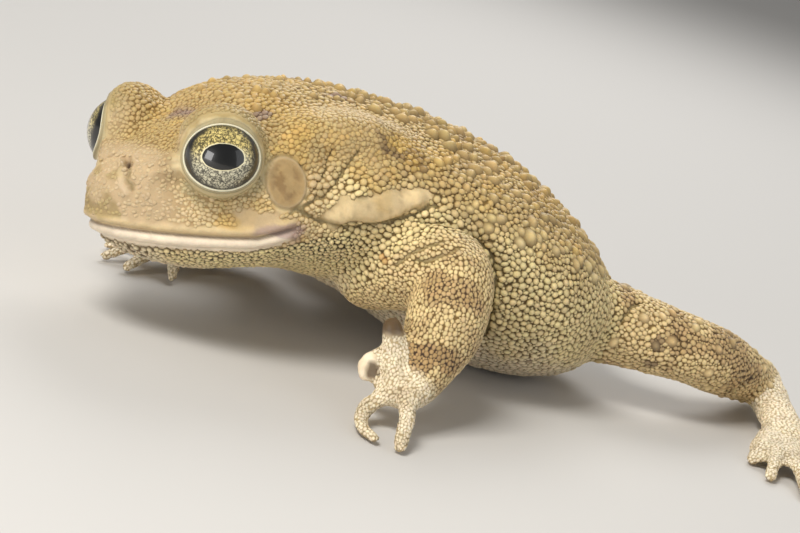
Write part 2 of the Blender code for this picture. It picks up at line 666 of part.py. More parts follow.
def part_limb(limb, word, segments, digits):
    """Parts the limb by a thin plate at each joint and names the lengths."""
    names = list(segments)
    cuts = []
    for near, far in zip(names, names[1:]):
        near_rows, far_rows = np.asarray(segments[near])[:, :3], np.asarray(segments[far])[:, :3]
        into, out = near_rows[-1] - near_rows[-2], far_rows[1] - far_rows[0]
        normal = into / np.linalg.norm(into) + out / np.linalg.norm(out)
        bend = np.dot(into, -out) / np.linalg.norm(into) / np.linalg.norm(out)
        half_angle = np.arccos(np.clip(bend, -1, 1)) / 2
        cuts.append(slab("cut", far_rows[0], normal, JOINT_MARGIN + segments[far][0][3] / np.sin(half_angle)))
    boolean(limb, cuts, "DIFFERENCE")
    shells = shells_of(limb)
    placed = {}
    for name in names:
        rows = np.vstack([segments[name], *(digits if name == names[-1] else ())])
        middle = rows[:, :3].mean(0)
        placed[name] = min(shells, key=lambda shell: np.linalg.norm(centre_of(shell) - middle))
    for name, shell in placed.items():
        shell.name = f"{name}_{word}"
    for shell in shells:
        if shell not in placed.values():
            removed(shell)
    return list(placed.values())


def on_floor(part):
    """Cuts off what lies below the floor, which leaves the flats that the toad rests on."""
    if min((vertex.co.z for vertex in part.data.vertices)) < 0:
        boolean(part, [box("floor", *FLOOR_CUT)], "DIFFERENCE")
    return largest_shell(part)


def finish(part, colour, roughness):
    material = bpy.data.materials.new(part.name)
    material.use_nodes = True
    shader = material.node_tree.nodes["Principled BSDF"]
    shader.inputs["Base Color"].default_value = (*colour, 1)
    shader.inputs["Roughness"].default_value = roughness
    part.data.materials.clear()
    part.data.materials.append(material)
    part.data.shade_smooth()
    part.data.set_sharp_from_angle(angle=np.radians(SHARP_ANGLE))


COLOURS = {
    "eye": ((0.10, 0.08, 0.03), 0.1),
    "eardrum": ((0.42, 0.30, 0.19), 0.5),
    "hand": ((0.55, 0.45, 0.33), 0.6),
    "foot": ((0.60, 0.50, 0.42), 0.6),
    "skin": ((0.44, 0.34, 0.18), 0.65),
}


def main():
    for thing in list(bpy.data.objects):
        bpy.data.objects.remove(thing)
    body = make_body()
    draw = np.random.default_rng(WART_SEED)
    sites = back_sites(draw)
    sizes = draw.choice(WART_RADII, len(sites))
    boolean(body["trunk"], warts(body["trunk"], sites, sizes), "UNION")
    pieces = finish_head(body["head"], body["lower_jaw"])
    trunk = largest_shell(body["trunk"])
    for piece in pieces + [trunk]:
        posed(piece)
    limbs = []
    for kind, word, segments, digits in (
        ("arm", "left", LEFT_ARM, LEFT_FINGERS),
        ("arm", "right", RIGHT_ARM, RIGHT_FINGERS),
        ("leg", "left", LEFT_LEG, LEFT_TOES),
        ("leg", "right", RIGHT_LEG, RIGHT_TOES),
    ):
        limb = make_limb(kind, word, segments, digits, TRIANGLES[kind])
        boolean(trunk, [grown(limb)], "DIFFERENCE")
        limbs += part_limb(limb, word, segments, digits)
    # The thumb stands beside the forearm, so it joins the hand after the arm has been parted.
    named = {piece.name: piece for piece in limbs}
    thumb = tube("thumb", LEFT_THUMB, around=10)
    boolean(thumb, [grown(named["forearm_left"])], "DIFFERENCE")
    boolean(named["hand_left"], [thumb], "UNION")
    pieces += [trunk] + limbs
    for piece in pieces:
        on_floor(piece)
        piece.data.transform(Matrix.Translation((-MIDDLE[0] * MM, -MIDDLE[1] * MM, 0)))
        kind = piece.name.rsplit("_", 1)[0]
        finish(piece, *COLOURS.get(kind, COLOURS["skin"]))
        print(piece.name, len(piece.data.polygons), np.round(piece.bound_box, 4)[[0, 6]].tolist())


main()
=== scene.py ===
# %% [markdown]
# # African common toad
#
# A life-size toad with a granular skin, large gold eyes and a pale lower lip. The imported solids
# give its size, its pose and its pieces. This script dresses them: one fine skin takes the place
# of all the pieces of flesh, thousands of small domes stand on it as the granules and warts, and
# the eyes and lids are modelled on their own. All sizes in the tables are in millimetres, and
# they become metres where a mesh is made.

import bmesh
import bpy
import numpy as np
from mathutils import Matrix, Vector
from mathutils.kdtree import KDTree


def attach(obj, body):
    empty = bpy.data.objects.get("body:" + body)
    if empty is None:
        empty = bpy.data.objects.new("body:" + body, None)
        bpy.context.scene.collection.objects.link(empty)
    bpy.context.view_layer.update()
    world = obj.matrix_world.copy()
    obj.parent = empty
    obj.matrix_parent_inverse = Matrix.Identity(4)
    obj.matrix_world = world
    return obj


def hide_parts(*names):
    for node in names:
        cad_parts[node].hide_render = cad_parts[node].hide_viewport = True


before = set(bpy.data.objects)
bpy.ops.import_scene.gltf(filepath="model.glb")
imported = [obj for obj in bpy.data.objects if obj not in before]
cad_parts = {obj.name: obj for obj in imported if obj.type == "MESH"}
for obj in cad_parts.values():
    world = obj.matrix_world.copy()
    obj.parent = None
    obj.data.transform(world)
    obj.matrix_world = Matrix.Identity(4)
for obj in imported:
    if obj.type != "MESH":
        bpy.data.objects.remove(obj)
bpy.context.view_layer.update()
MM = 0.001
print("solids:", len(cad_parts), "nodes")

# %% [markdown]
# ## Where points of the pose lie
#
# The tables below are written around the toad's snout, as one would measure a specimen. The
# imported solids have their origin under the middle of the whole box, so every finished point is
# moved by the same amount.

# %% Origin
MIDDLE = np.array([-8.5, 69.1, 0.0])


def placed(points):
    """Points of the pose, in millimetres, as metres from the origin of the solids."""
    return (np.asarray(points, float) - MIDDLE) * MM


# %% [markdown]
# ## Camera, floor and light
#
# The camera comes first, so that every later step can be looked at through it. It stands to the
# front left of the toad, a little above its back, and leans to one side, because the floor here
# is level while the animal's perch sloped. The light is a large soft lamp high on the camera's
# left, with a weaker one opposite, over a plain pale floor.

# %% Camera
CAMERA_PLACE = np.array([282.55, -124.64, 96.75])
CAMERA_RIGHT = Vector((0.45528519, 0.83833922, 0.29983787))
CAMERA_DOWN = Vector((0.36126521, 0.13385215, -0.92280607))
CAMERA_AHEAD = Vector((-0.81375847, 0.52846093, -0.2419219))
LENS, SENSOR = 100, 36         # in millimetres
NEAREST = 0.01                 # in metres, what the camera still shows


def linked(name, data):
    """An object of the scene for a mesh, a lamp or a camera."""
    item = bpy.data.objects.new(name, data)
    bpy.context.scene.collection.objects.link(item)
    return item


camera_data = bpy.data.cameras.new("camera")
camera_data.lens, camera_data.sensor_width, camera_data.clip_start = LENS, SENSOR, NEAREST
camera = linked("camera", camera_data)
camera.matrix_world = Matrix.Translation(placed(CAMERA_PLACE)) @ Matrix(
    (CAMERA_RIGHT, -CAMERA_DOWN, -CAMERA_AHEAD)
).transposed().to_4x4()
bpy.context.scene.camera = camera
print("camera at", [round(v, 3) for v in camera.location])

# %% Floor, backdrop and lamps
FLOOR_HALF, FLOOR_DROP = 1.6, 0.0002
FLOOR_COLOUR = (0.62, 0.60, 0.57)
LAMPS = (                      # place and aim in metres, size, watts and colour
    ("key", (0.16, -0.34, 0.46), (0, -0.02, 0.02), 0.20, 2.7, (1.0, 0.98, 0.94)),
    ("window", (0.25, -0.50, 0.10), (0, -0.03, 0.03), 0.20, 0.9, (1.0, 0.98, 0.96)),
    ("fill", (0.45, 0.35, 0.25), (0, 0, 0.02), 0.5, 0.7, (0.96, 0.98, 1.0)),
    ("rim", (-0.35, 0.25, 0.40), (0, 0, 0.03), 0.3, 1.5, (1, 1, 1)),
)
WORLD_GREY, WORLD_STRENGTH = (0.86, 0.86, 0.86, 1), 0.3


def new_material(name, constants):
    """A material and its shader, with plain values for some of the shader's inputs."""
    material = bpy.data.materials.new(name)
    material.use_nodes = True
    shader = material.node_tree.nodes["Principled BSDF"]
    for key, value in constants.items():
        shader.inputs[key].default_value = value
    return material, shader


def soft_lamp(name, place, aim, size, watts, colour):
    """A square area lamp, turned from its place towards its aim."""
    data = bpy.data.lights.new(name, "AREA")
    data.shape, data.size, data.energy, data.color = "SQUARE", size, watts, colour
    lamp = linked(name, data)
    lamp.location = place
    lamp.rotation_euler = (Vector(aim) - Vector(place)).to_track_quat("-Z", "Y").to_euler()
    lamp.visible_glossy = name != "key"


floor_mesh = bpy.data.meshes.new("floor")
floor_mesh.from_pydata(
    [(x * FLOOR_HALF, y * FLOOR_HALF, -FLOOR_DROP) for x, y in ((-1, -1), (1, -1), (1, 1), (-1, 1))],
    [], [(0, 1, 2, 3)],
)
floor_mesh.materials.append(new_material("floor", {"Base Color": (*FLOOR_COLOUR, 1), "Roughness": 0.8})[0])
floor = linked("floor", floor_mesh)

for lamp in LAMPS:
    soft_lamp(*lamp)
world = bpy.data.worlds.new("studio")
world.use_nodes = True
background = world.node_tree.nodes["Background"].inputs
background["Color"].default_value, background["Strength"].default_value = WORLD_GREY, WORLD_STRENGTH
bpy.context.scene.world = world
bpy.context.scene.view_settings.view_transform = "Standard"
print("lamps:", len(LAMPS))

# %% [markdown]
# ## The body's own measurements
#
# Head and trunk are described straight and level, as rows of cross-sections behind the snout,
# because a folded, tilted animal is hard to write down. Each row holds the distance back, the
# height of the widest level, the half width there, the rise above it and the depth below it.
# A spine then carries every section into the pose.

# %% Tables of head and trunk
SNOUT_TO_VENT = 96.0           # along the back
SPINE = (                      # distance back, pitch, yaw and roll in degrees
    (0, -8.0, 13.3, 11.3), (26, -8.0, 13.3, 11.3), (38, -2.0, 7.5, 8.5), (50, 7.0, 2.0, 5.5),
    (64, 10.0, 0.0, 3.5), (80, 9.0, -2.0, 1.5), (100, 6.0, -2.0, 0.0),
)
SPINE_EASE = 5.0               # the turns are blended over this distance
SNOUT = (8.0, 0.0, 16.5)       # its tip in the pose
SNOUT_HEIGHT = 11.6            # of the tip over the straight body's own zero
BODY = (                       # distance back, level, half width, rise and depth
    (2.2, 11.4, 1.2, 2.0, 1.6), (2.9, 11.3, 3.4, 3.6, 2.9), (4.6, 11.0, 5.4, 6.1, 4.3),
    (8.0, 10.3, 8.2, 8.8, 5.8), (12.0, 9.8, 11.6, 11.4, 6.8), (17.0, 9.8, 14.6, 13.7, 7.8),
    (22.0, 10.5, 16.7, 16.3, 8.8), (27.0, 11.5, 18.0, 16.8, 10.0), (33.0, 13.0, 19.4, 15.7, 12.0),
    (42.0, 14.0, 21.5, 14.2, 14.5), (52.0, 13.5, 24.0, 14.2, 16.4), (62.0, 12.5, 25.5, 14.6, 18.0),
    (72.0, 11.0, 25.0, 14.0, 17.0), (80.0, 10.0, 21.5, 12.4, 15.2), (87.0, 8.5, 16.5, 10.4, 11.6),
    (92.0, 8.0, 11.0, 8.0, 7.5), (95.6, 7.6, 5.6, 5.0, 4.8), (97.2, 7.4, 1.6, 1.6, 1.6),
)
HEAD_SQUARENESS, TRUNK_SQUARENESS, BELLY_SQUARENESS = 2.5, 2.0, 2.2
NECK = (20, 50)                # the upper side turns from the head's squareness to the trunk's

EYE = np.array([11.7, 15.3, 19.4])
EYE_RADIUS = 5.5
EYE_TURN, EYE_LIFT = 56.0, 11.0             # of the gaze, in degrees outward and up
LID_RADII, LID_INSET, LID_RISE = (6.3, 6.7, 6.4), 0.7, 1.5
BROW = ((9.2, 11.6, 18.8, 2.6, 2.3), (6.4, 9.2, 17.3, 2.0, 2.0), (4.3, 7.2, 15.9, 1.7, 1.7))
EYE_OPENING = (5.2, 4.5)       # half width and half height between the lids
MOUTH = ((-3.0, 9.3), (2.0, 9.0), (8.0, 8.5), (16.0, 8.3), (20.0, 8.3), (24.0, 9.4), (32.0, 11.3))
PAROTOID = ((12.4, 34.5, 21.6), (5.6, 11.5, 5.2))
NECK_ROLL = ((17.2, 37.5, 14.4), (4.8, 8.0, 4.6))

# %% [markdown]
# ## The limbs
#
# Each limb is a row of ellipses along its bones, already in the pose: x, y, z, half width and
# half height. The left arm is planted out to the side, the left hind leg is stretched back with
# its foot turned forward, the right arm reaches under the chin and the right hind leg is folded.

# %% Tables of the limbs
LIMBS = {
    "left_arm": (
        (12, 46, 17.5, 6.5, 8.5), (18, 48, 19.3, 6.6, 7.8), (23, 50.0, 20.2, 6.2, 7.0),
        (26.6, 51.2, 19.6, 5.9, 6.4), (28.6, 50.5, 16.4, 6.1, 6.3), (31.0, 49.0, 12.4, 5.7, 5.8),
        (33.4, 46.8, 8.8, 4.4, 4.4), (35.0, 44.8, 6.6, 3.6, 3.3), (36.0, 42.0, 5.2, 4.2, 2.5),
    ),
    "right_arm": (
        (-12, 46, 14.5, 6.0, 7.5), (-18, 49, 14.5, 6.0, 7.0), (-24, 51, 12.5, 5.6, 6.0),
        (-27.5, 51, 10, 5.2, 5.6), (-28.0, 46, 8, 5.4, 5.4), (-25.6, 39, 5.6, 4.6, 4.2),
        (-23.4, 33, 4.0, 3.7, 2.9), (-21.6, 29.5, 3.2, 4.4, 2.4),
    ),
    "left_leg": (
        (9.5, 78, 12.5, 7.0, 7.2), (9.5, 87, 12.6, 7.4, 7.2), (12.6, 96, 12.2, 6.4, 6.4),
        (16, 106, 11.3, 5.4, 5.6), (14.6, 114, 9.6, 5.5, 5.5), (10.8, 124, 6.8, 4.6, 4.6),
        (5.8, 133, 4.3, 3.6, 3.6),
    ),
    "left_foot": (
        (5.8, 133, 4.3, 3.6, 3.6), (14.4, 128.8, 3.7, 3.6, 3.1), (23.4, 124.4, 3.2, 3.8, 2.7),
        (28.4, 121.6, 2.8, 4.6, 2.2),
    ),
    "right_thigh": (
        (-9.5, 79, 12.5, 6.5, 7.0), (-16, 77, 12.5, 8.0, 7.4), (-26, 71, 11.4, 7.0, 6.8),
        (-35.5, 66.0, 10.0, 5.6, 5.8),
    ),
    "right_shank": (
        (-35.5, 66.0, 10.0, 5.6, 5.8), (-37.4, 75, 9.0, 5.8, 5.8), (-34.4, 85, 6.8, 4.8, 4.8),
        (-29, 94, 4.6, 3.6, 3.5),
    ),
    "right_foot": (
        (-29, 94, 4.6, 3.6, 3.5), (-36.0, 92.4, 3.8, 3.5, 3.0), (-43.6, 88.6, 3.2, 3.5, 2.6),
        (-47.6, 85.4, 2.9, 4.4, 2.2),
    ),
}
DIGITS = {
    "left_finger": (
        ((34.2, 42.0, 6.2, 2.6, 2.4), (32.4, 41.2, 10.0, 2.1, 2.0), (31.2, 40.5, 13.1, 1.9, 1.8)),
        ((33.6, 42.2, 7.4, 1.8, 1.6), (31.0, 40.0, 8.6, 1.4, 1.3), (30.2, 38.6, 7.0, 1.4, 1.3),
         (31.0, 38.7, 5.2, 1.4, 1.3)),
        ((35.0, 41.0, 5.0, 1.8, 1.6), (35.6, 37.4, 2.0, 1.5, 1.4), (39.6, 35.4, 0.9, 1.3, 1.2),
         (42.8, 35.8, 0.75, 1.15, 1.1)),
        ((38.0, 42.2, 5.2, 1.8, 1.6), (41.6, 40.6, 3.8, 1.5, 1.4), (45.2, 38.6, 0.75, 1.3, 1.1)),
    ),
    "right_finger": (
        ((-20.8, 31.0, 3.2, 1.6, 1.5), (-17.6, 29.8, 2.6, 1.5, 1.4), (-14.6, 28.6, 0.75, 1.3, 1.1)),
        ((-20.6, 29.0, 3.2, 1.6, 1.5), (-18.2, 25.2, 2.6, 1.5, 1.4), (-16.4, 21.6, 0.75, 1.3, 1.1)),
        ((-22.0, 28.2, 3.2, 1.6, 1.5), (-21.6, 24.0, 2.6, 1.4, 1.3), (-20.8, 19.6, 0.75, 1.2, 1.1)),
        ((-23.4, 29.2, 3.2, 1.6, 1.5), (-25.6, 26.0, 2.6, 1.4, 1.3), (-27.0, 22.6, 0.75, 1.2, 1.1)),
    ),
    "left_toe": (
        ((26.0, 120.6, 2.8, 1.8, 1.6), (28.2, 117.0, 2.3, 1.6, 1.4), (29.4, 114.6, 0.75, 1.3, 1.1)),
        ((27.6, 120.0, 2.8, 1.8, 1.6), (31.6, 114.6, 2.3, 1.6, 1.4), (34.4, 110.6, 0.75, 1.3, 1.1)),
        ((29.0, 120.0, 2.8, 1.9, 1.6), (35.6, 114.0, 2.4, 1.6, 1.4), (40.6, 109.4, 0.75, 1.3, 1.1)),
        ((29.4, 121.0, 2.8, 2.0, 1.7), (39.4, 115.8, 2.4, 1.7, 1.4), (47.6, 111.6, 0.75, 1.3, 1.1)),
        ((29.0, 122.6, 2.8, 1.9, 1.6), (36.8, 120.4, 2.3, 1.6, 1.4), (43.4, 118.6, 0.75, 1.3, 1.1)),
    ),
    "right_toe": (
        ((-44.6, 85.6, 2.8, 1.7, 1.5), (-44.6, 80.8, 2.2, 1.5, 1.3), (-44.2, 77.4, 0.75, 1.2, 1.1)),
        ((-46.0, 84.6, 2.8, 1.7, 1.5), (-48.2, 77.8, 2.2, 1.5, 1.3), (-49.6, 72.6, 0.75, 1.2, 1.1)),
        ((-47.6, 84.2, 2.8, 1.8, 1.5), (-52.6, 76.4, 2.3, 1.5, 1.3), (-56.4, 70.2, 0.75, 1.2, 1.1)),
        ((-48.4, 84.8, 2.8, 1.9, 1.6), (-57.2, 78.0, 2.3, 1.6, 1.3), (-64.8, 71.8, 0.75, 1.2, 1.1)),
        ((-48.6, 86.6, 2.8, 1.8, 1.5), (-56.0, 83.6, 2.2, 1.5, 1.3), (-62.4, 81.0, 0.75, 1.2, 1.1)),
    ),
}
TUBES = LIMBS | {f"{name}_{i}": rows for name, digits in DIGITS.items() for i, rows in enumerate(digits)}
print("limb lengths and digits:", len(TUBES))

# %% [markdown]
# ## Curves and the spine
#
# A Catmull-Rom spline passes through every row of a table, so a few rows make a smooth form. The
# spine turns in three ways along its length: the nose is tipped down, the head is turned to the
# toad's left, and its left side is raised. Each cross-section keeps its shape and turns with the
# spine, and the same rule read backwards tells where on the straight body a posed point lies,
# which is how the face and the markings are placed later.

# %% Curves


def through(rows, samples):
    """Catmull-Rom curve through the rows of a table, with so many samples from row to row."""
    rows = np.asarray(rows, float)
    held = np.vstack([2 * rows[0] - rows[1], rows, 2 * rows[-1] - rows[-2]])
    before, start, end, after = (held[i : i + len(rows) - 1, None] for i in range(4))
    t = np.linspace(0, 1, samples, endpoint=False)[None, :, None]
    curve = 0.5 * (
        2 * start
        + (end - before) * t
        + (2 * before - 5 * start + 4 * end - after) * t**2
        + (3 * start - before - 3 * end + after) * t**3
    )
    return np.vstack([curve.reshape(-1, rows.shape[1]), rows[-1]])


def turned(pitch, yaw, roll):
    """Rotation matrices: nose up by pitch, to the left by yaw, left side up by roll, in degrees."""
    pitch, yaw, roll = (np.radians(np.asarray(angle, float)) for angle in (pitch, yaw, roll))
    none, one = np.zeros_like(pitch), np.ones_like(pitch)

    def matrix(*cells):
        return np.stack(cells, -1).reshape(pitch.shape + (3, 3))

    about_z = matrix(np.cos(yaw), -np.sin(yaw), none, np.sin(yaw), np.cos(yaw), none, none, none, one)
    about_x = matrix(one, none, none, none, np.cos(pitch), np.sin(pitch), none, -np.sin(pitch), np.cos(pitch))
    about_y = matrix(np.cos(roll), none, -np.sin(roll), none, one, none, np.sin(roll), none, np.cos(roll))
    return about_z @ about_x @ about_y


def smoothstep(low, high, value):
    """0 below low, 1 above high, and an S-shaped rise between."""
    t = np.clip((value - low) / (high - low), 0, 1)
    return t * t * (3 - 2 * t)


# %% Spine


class Spine:
    """Carries the straight body into the pose and back."""

    STEP = 0.25                    # from point to point of the spine
    BEFORE, BEHIND = 6.0, 8.0      # how far it runs on past snout and vent

    def __init__(self):
        rows = np.asarray(SPINE, float)
        self.y = np.arange(-self.BEFORE, SNOUT_TO_VENT + self.BEHIND, self.STEP)
        ease = np.hanning(int(2 * SPINE_EASE / self.STEP) + 1)
        ease /= ease.sum()
        reach = len(ease) // 2
        angles = [np.pad(np.interp(self.y, rows[:, 0], rows[:, i]), reach, mode="edge") for i in (1, 2, 3)]
        angles = [np.convolve(angle, ease, "valid") for angle in angles]
        self.turn = turned(*angles)
        back = self.turn[:, :, 1]
        steps = (back[1:] + back[:-1]) / 2 * self.STEP
        line = np.vstack([np.zeros(3), np.cumsum(steps, axis=0)])
        tip = int(np.argmin(abs(self.y)))
        self.line = line - line[tip] + np.array(SNOUT) - self.turn[tip] @ np.array([0, 0, SNOUT_HEIGHT])

    def at(self, y):
        """The spine's point and turn at distances back."""
        on_line = np.stack([np.interp(y, self.y, self.line[:, i]) for i in range(3)], 1)
        cells = self.turn.reshape(-1, 9)
        turn = np.stack([np.interp(y, self.y, cells[:, i]) for i in range(9)], 1)
        return on_line, turn.reshape(-1, 3, 3)

    def bend(self, points):
        """Straight body to pose."""
        points = np.asarray(points, float)
        on_line, turn = self.at(points[:, 1])
        across = np.stack([points[:, 0], np.zeros(len(points)), points[:, 2]], 1)
        return on_line + np.einsum("nij,nj->ni", turn, across)

    def straighten(self, points, rounds=10):
        """Pose to straight body: slides along the spine until the point lies square beside it."""
        y = np.asarray(points)[:, 1].copy()
        for _ in range(rounds):
            on_line, turn = self.at(y)
            away = points - on_line
            y = np.clip(y + np.einsum("ni,ni->n", away, turn[:, :, 1]), self.y[0], self.y[-1])
        across = np.einsum("nji,nj->ni", turn, away)
        return np.stack([across[:, 0], y, across[:, 2]], 1)


spine = Spine()
print("spine length", round(float(spine.y[-1]), 1), "mm")

# %% [markdown]
# ## Raw shapes
#
# The trunk is a loft of superellipses: |x/a|^n + |z/b|^n = 1, with a higher n at the head, which
# makes it boxier. Lids, glands and brow are ellipsoids and short tubes sunk into it. Each limb
# is a tube of ellipses with rounded ends. All of them overlap freely here, because the next
# step fuses them.

# %% Shape makers
FINE_SAMPLES = 8               # between two rows of a table


def round_angles(count):
    """So many angles round a full turn."""
    return np.linspace(0, 2 * np.pi, count, endpoint=False)


def band(count, around):
    """Quads between rings of points, each ring's points numbered on from the last ring's."""
    row = np.arange(count - 1)[:, None] * around
    here = np.arange(around)[None]
    after = (here + 1) % around
    quads = np.stack([row + here, row + after, row + around + after, row + around + here], -1)
    return quads.reshape(-1, 4).tolist()


def rings_to_mesh(rings):
    """Points and faces of a closed surface through rings of points, each end closed by a fan."""
    rings = np.asarray(rings, float)
    count, around, _ = rings.shape
    points = np.vstack([rings.reshape(-1, 3), rings[0].mean(0), rings[-1].mean(0)])
    first, last = count * around, count * around + 1
    start = [(first, (i + 1) % around, i) for i in range(around)]
    end = [(last, first - around + i, first - around + (i + 1) % around) for i in range(around)]
    return points, band(count, around) + start + end


def squareness(y, upper_side):
    """Exponent of the sections: over the widest level it falls from the head's to the trunk's."""
    trunk = np.clip((y - NECK[0]) / (NECK[1] - NECK[0]), 0, 1)
    upper = HEAD_SQUARENESS + (TRUNK_SQUARENESS - HEAD_SQUARENESS) * trunk
    return np.where(upper_side, upper, BELLY_SQUARENESS)


def body_loft(around=96):
    """Superellipse sections along BODY: x = a |cos t|^(2/n) and z = level + b |sin t|^(2/n), with signs."""
    y, level, half, rise, depth = (column[:, None] for column in through(BODY, FINE_SAMPLES).T)
    angle = round_angles(around)[None]
    cos, sin = np.cos(angle), np.sin(angle)
    exponent = squareness(y, sin > 0)
    x = half * np.sign(cos) * abs(cos) ** (2 / exponent)
    z = level + np.where(sin > 0, rise, depth) * np.sign(sin) * abs(sin) ** (2 / exponent)
    return rings_to_mesh(np.stack([x, y + 0 * x, z], -1)[:, ::-1])


STEEP = 0.15                   # below this share of level run, a tube's side is taken from y
CAP_STEPS = (0.3, 0.6, 0.83, 0.97)


def unit(vectors):
    """Vectors scaled to length 1."""
    return vectors / np.linalg.norm(vectors, axis=1)[:, None]


def tube(rows, around=24, samples=6):
    """Ellipses across a smooth centre line, centre + side w cos t + upward h sin t, with round ends."""
    curve = through(rows, samples)
    centre, half_width, half_height = curve[:, :3], curve[:, 3], curve[:, 4]
    along = unit(np.gradient(centre, axis=0))
    side = np.cross(along, (0, 0, 1.0))
    steep = np.linalg.norm(side, axis=1) < STEEP
    side[steep] = np.cross(along[steep], (0, 1.0, 0))
    side = unit(side)
    upward = np.cross(side, along)
    angle = round_angles(around)
    rings = (
        centre[:, None]
        + side[:, None] * (half_width[:, None] * np.cos(angle))[..., None]
        + upward[:, None] * (half_height[:, None] * np.sin(angle))[..., None]
    )

    def cap(i, direction):
        radius = min(half_width[i], half_height[i])
        return [
            centre[i] + along[i] * direction * radius * share
            + (rings[i] - centre[i]) * np.sqrt(1 - share**2) for share in CAP_STEPS
        ]

    return rings_to_mesh(np.array(cap(0, -1)[::-1] + list(rings) + cap(-1, 1))[:, ::-1])


def unit_sphere(rings, around):
    """Rings about the third axis: (sin t cos a, sin t sin a, cos t), without the poles."""
    off = np.linspace(0, np.pi, rings + 2)[1:-1, None]
    angle = round_angles(around)[None]
    return np.stack([np.sin(off) * np.cos(angle), np.sin(off) * np.sin(angle), np.cos(off) + 0 * angle], -1)


def ellipsoid(centre, radii, turn=(0, 0, 0)):
    """An ellipsoid: a unit sphere times three radii, turned by pitch, yaw and roll, and moved."""
    points = unit_sphere(30, 48) * np.asarray(radii, float) @ turned(*turn).T + np.asarray(centre, float)
    return rings_to_mesh(points[:, ::-1])


def on_side(point, side):
    """A point of the left side as it is, or mirrored: x times 1 or -1."""
    return np.asarray(point, float) * (side, 1, 1)


def gaze(side):
    """The direction in which an eye looks, from its turn and lift."""
    turn, lift = np.radians([EYE_TURN, EYE_LIFT])
    return np.array([side * np.sin(turn) * np.cos(lift), -np.cos(turn) * np.cos(lift), np.sin(lift)])


# %% Gather the shapes
head_and_trunk = [body_loft()]
for side in (1, -1):
    lid_centre = on_side(EYE, side) - gaze(side) * LID_INSET + np.array([0, 0, LID_RISE])
    head_and_trunk += [
        ellipsoid(lid_centre, LID_RADII, turn=(0, side * (EYE_TURN - 90), 0)),
        tube(np.asarray(BROW) * (side, 1, 1, 1, 1)),
        ellipsoid(on_side(PAROTOID[0], side), PAROTOID[1]),
        ellipsoid(on_side(NECK_ROLL[0], side), NECK_ROLL[1]),
    ]
shapes = [(spine.bend(points), faces) for points, faces in head_and_trunk]
shapes += [tube(rows, around=24 if name in LIMBS else 16) for name, rows in TUBES.items()]
print("raw shapes:", len(shapes))

# %% [markdown]
# ## One skin
#
# A toad's skin runs over head, trunk and limbs with no seam. The overlapping shapes are fused
# by a voxel remesh, which keeps only the outside of them all, and smoothing rounds the creases
# where they meet.

# %% Fuse
SKIN_VOXEL = 0.78
SKIN_ROUNDS, SKIN_FACTOR = 4, 0.5            # of smoothing


def joined(shapes):
    """Points and faces of several shapes as one list each."""
    points, faces, count = [], [], 0
    for shape_points, shape_faces in shapes:
        points.append(shape_points)
        faces += [[corner + count for corner in face] for face in shape_faces]
        count += len(shape_points)
    return np.vstack(points), faces


def mesh_from(name, points, faces):
    """A mesh of points and faces, in the units given."""
    mesh = bpy.data.meshes.new(name)
    mesh.from_pydata(np.asarray(points, float).tolist(), [], faces)
    return mesh


def vectors_of(mesh, kind="co"):
    """The places ("co") or normals ("normal") of a mesh's points."""
    vectors = np.empty(len(mesh.vertices) * 3)
    mesh.vertices.foreach_get(kind, vectors)
    return vectors.reshape(-1, 3)


def triangles_of(mesh):
    """How many triangles a mesh holds: each face has two fewer than it has corners."""
    return sum(len(face.vertices) - 2 for face in mesh.polygons)


def fused_skin(shapes):
    """The outside of all shapes as one mesh, in millimetres of the pose."""
    points, faces = joined(shapes)
    skin = linked("skin", mesh_from("raw", points, faces))
    remesh = skin.modifiers.new("fuse", "REMESH")
    remesh.mode, remesh.voxel_size = "VOXEL", SKIN_VOXEL
    smooth = skin.modifiers.new("smooth", "SMOOTH")
    smooth.factor, smooth.iterations = SKIN_FACTOR, SKIN_ROUNDS
    mesh = bpy.data.meshes.new_from_object(skin.evaluated_get(bpy.context.evaluated_depsgraph_get()))
    bpy.data.objects.remove(skin)
    return mesh


skin_mesh = fused_skin(shapes)
print("skin:", len(skin_mesh.vertices), "points")

# %% [markdown]
# ## Where a point of the skin lies
#
# Relief and colour both follow the anatomy. The helpers here tell, for any point, how far along
# the straight body it is, which limb it belongs to, and where it is around the eye, the mouth
# and the ear. Left and right are the same: x is taken without its sign. A smooth random field,
# made from hashed lattice values, keeps the marks from looking ruled.

# %% Random field and distances
AXIS_PRIMES = np.array([73856093, 19349663, 83492791], np.uint32)
SEED_PRIME, STIRRERS = 40503, ((15, 739982445), (12, 695872825))
LATTICE_SHIFT = 500            # keeps every cell's number above zero


def noise(points, size, seed):
    """Smooth random field, 0 to 1: an eased blend of hashed values on a lattice of cells."""
    grid = np.asarray(points, float) / size + LATTICE_SHIFT
    cell = np.floor(grid).astype(np.int64)
    ease = grid - cell
    ease = ease * ease * (3 - 2 * ease)
    total = np.zeros(len(grid))
    for corner in np.ndindex(2, 2, 2):
        keys = (cell + corner).astype(np.uint32) * AXIS_PRIMES
        mixed = np.bitwise_xor.reduce(keys, axis=1) ^ np.uint32(seed * SEED_PRIME)
        for shift, factor in STIRRERS:
            mixed = (mixed ^ mixed >> np.uint32(shift)) * np.uint32(factor)
        mixed ^= mixed >> np.uint32(15)
        total += mixed / 2**32 * np.prod(np.where(corner, ease, 1 - ease), axis=1)
    return total


def shaken(points, field, size, seed, reach):
    """Points moved at random by up to half the reach, so that what is drawn there has a broken edge."""
    return points + np.stack([noise(field, size, seed + i) - 0.5 for i in range(3)], 1) * reach


def near_line(points, line):
    """Distance from each point to a row of straight pieces."""
    nearest = np.full(len(points), np.inf)
    for start, end in zip(np.asarray(line[:-1], float), np.asarray(line[1:], float)):
        along = end - start
        share = np.clip((points - start) @ along / (along @ along), 0, 1)
        nearest = np.minimum(nearest, np.linalg.norm(points - start - share[:, None] * along, axis=1))
    return nearest


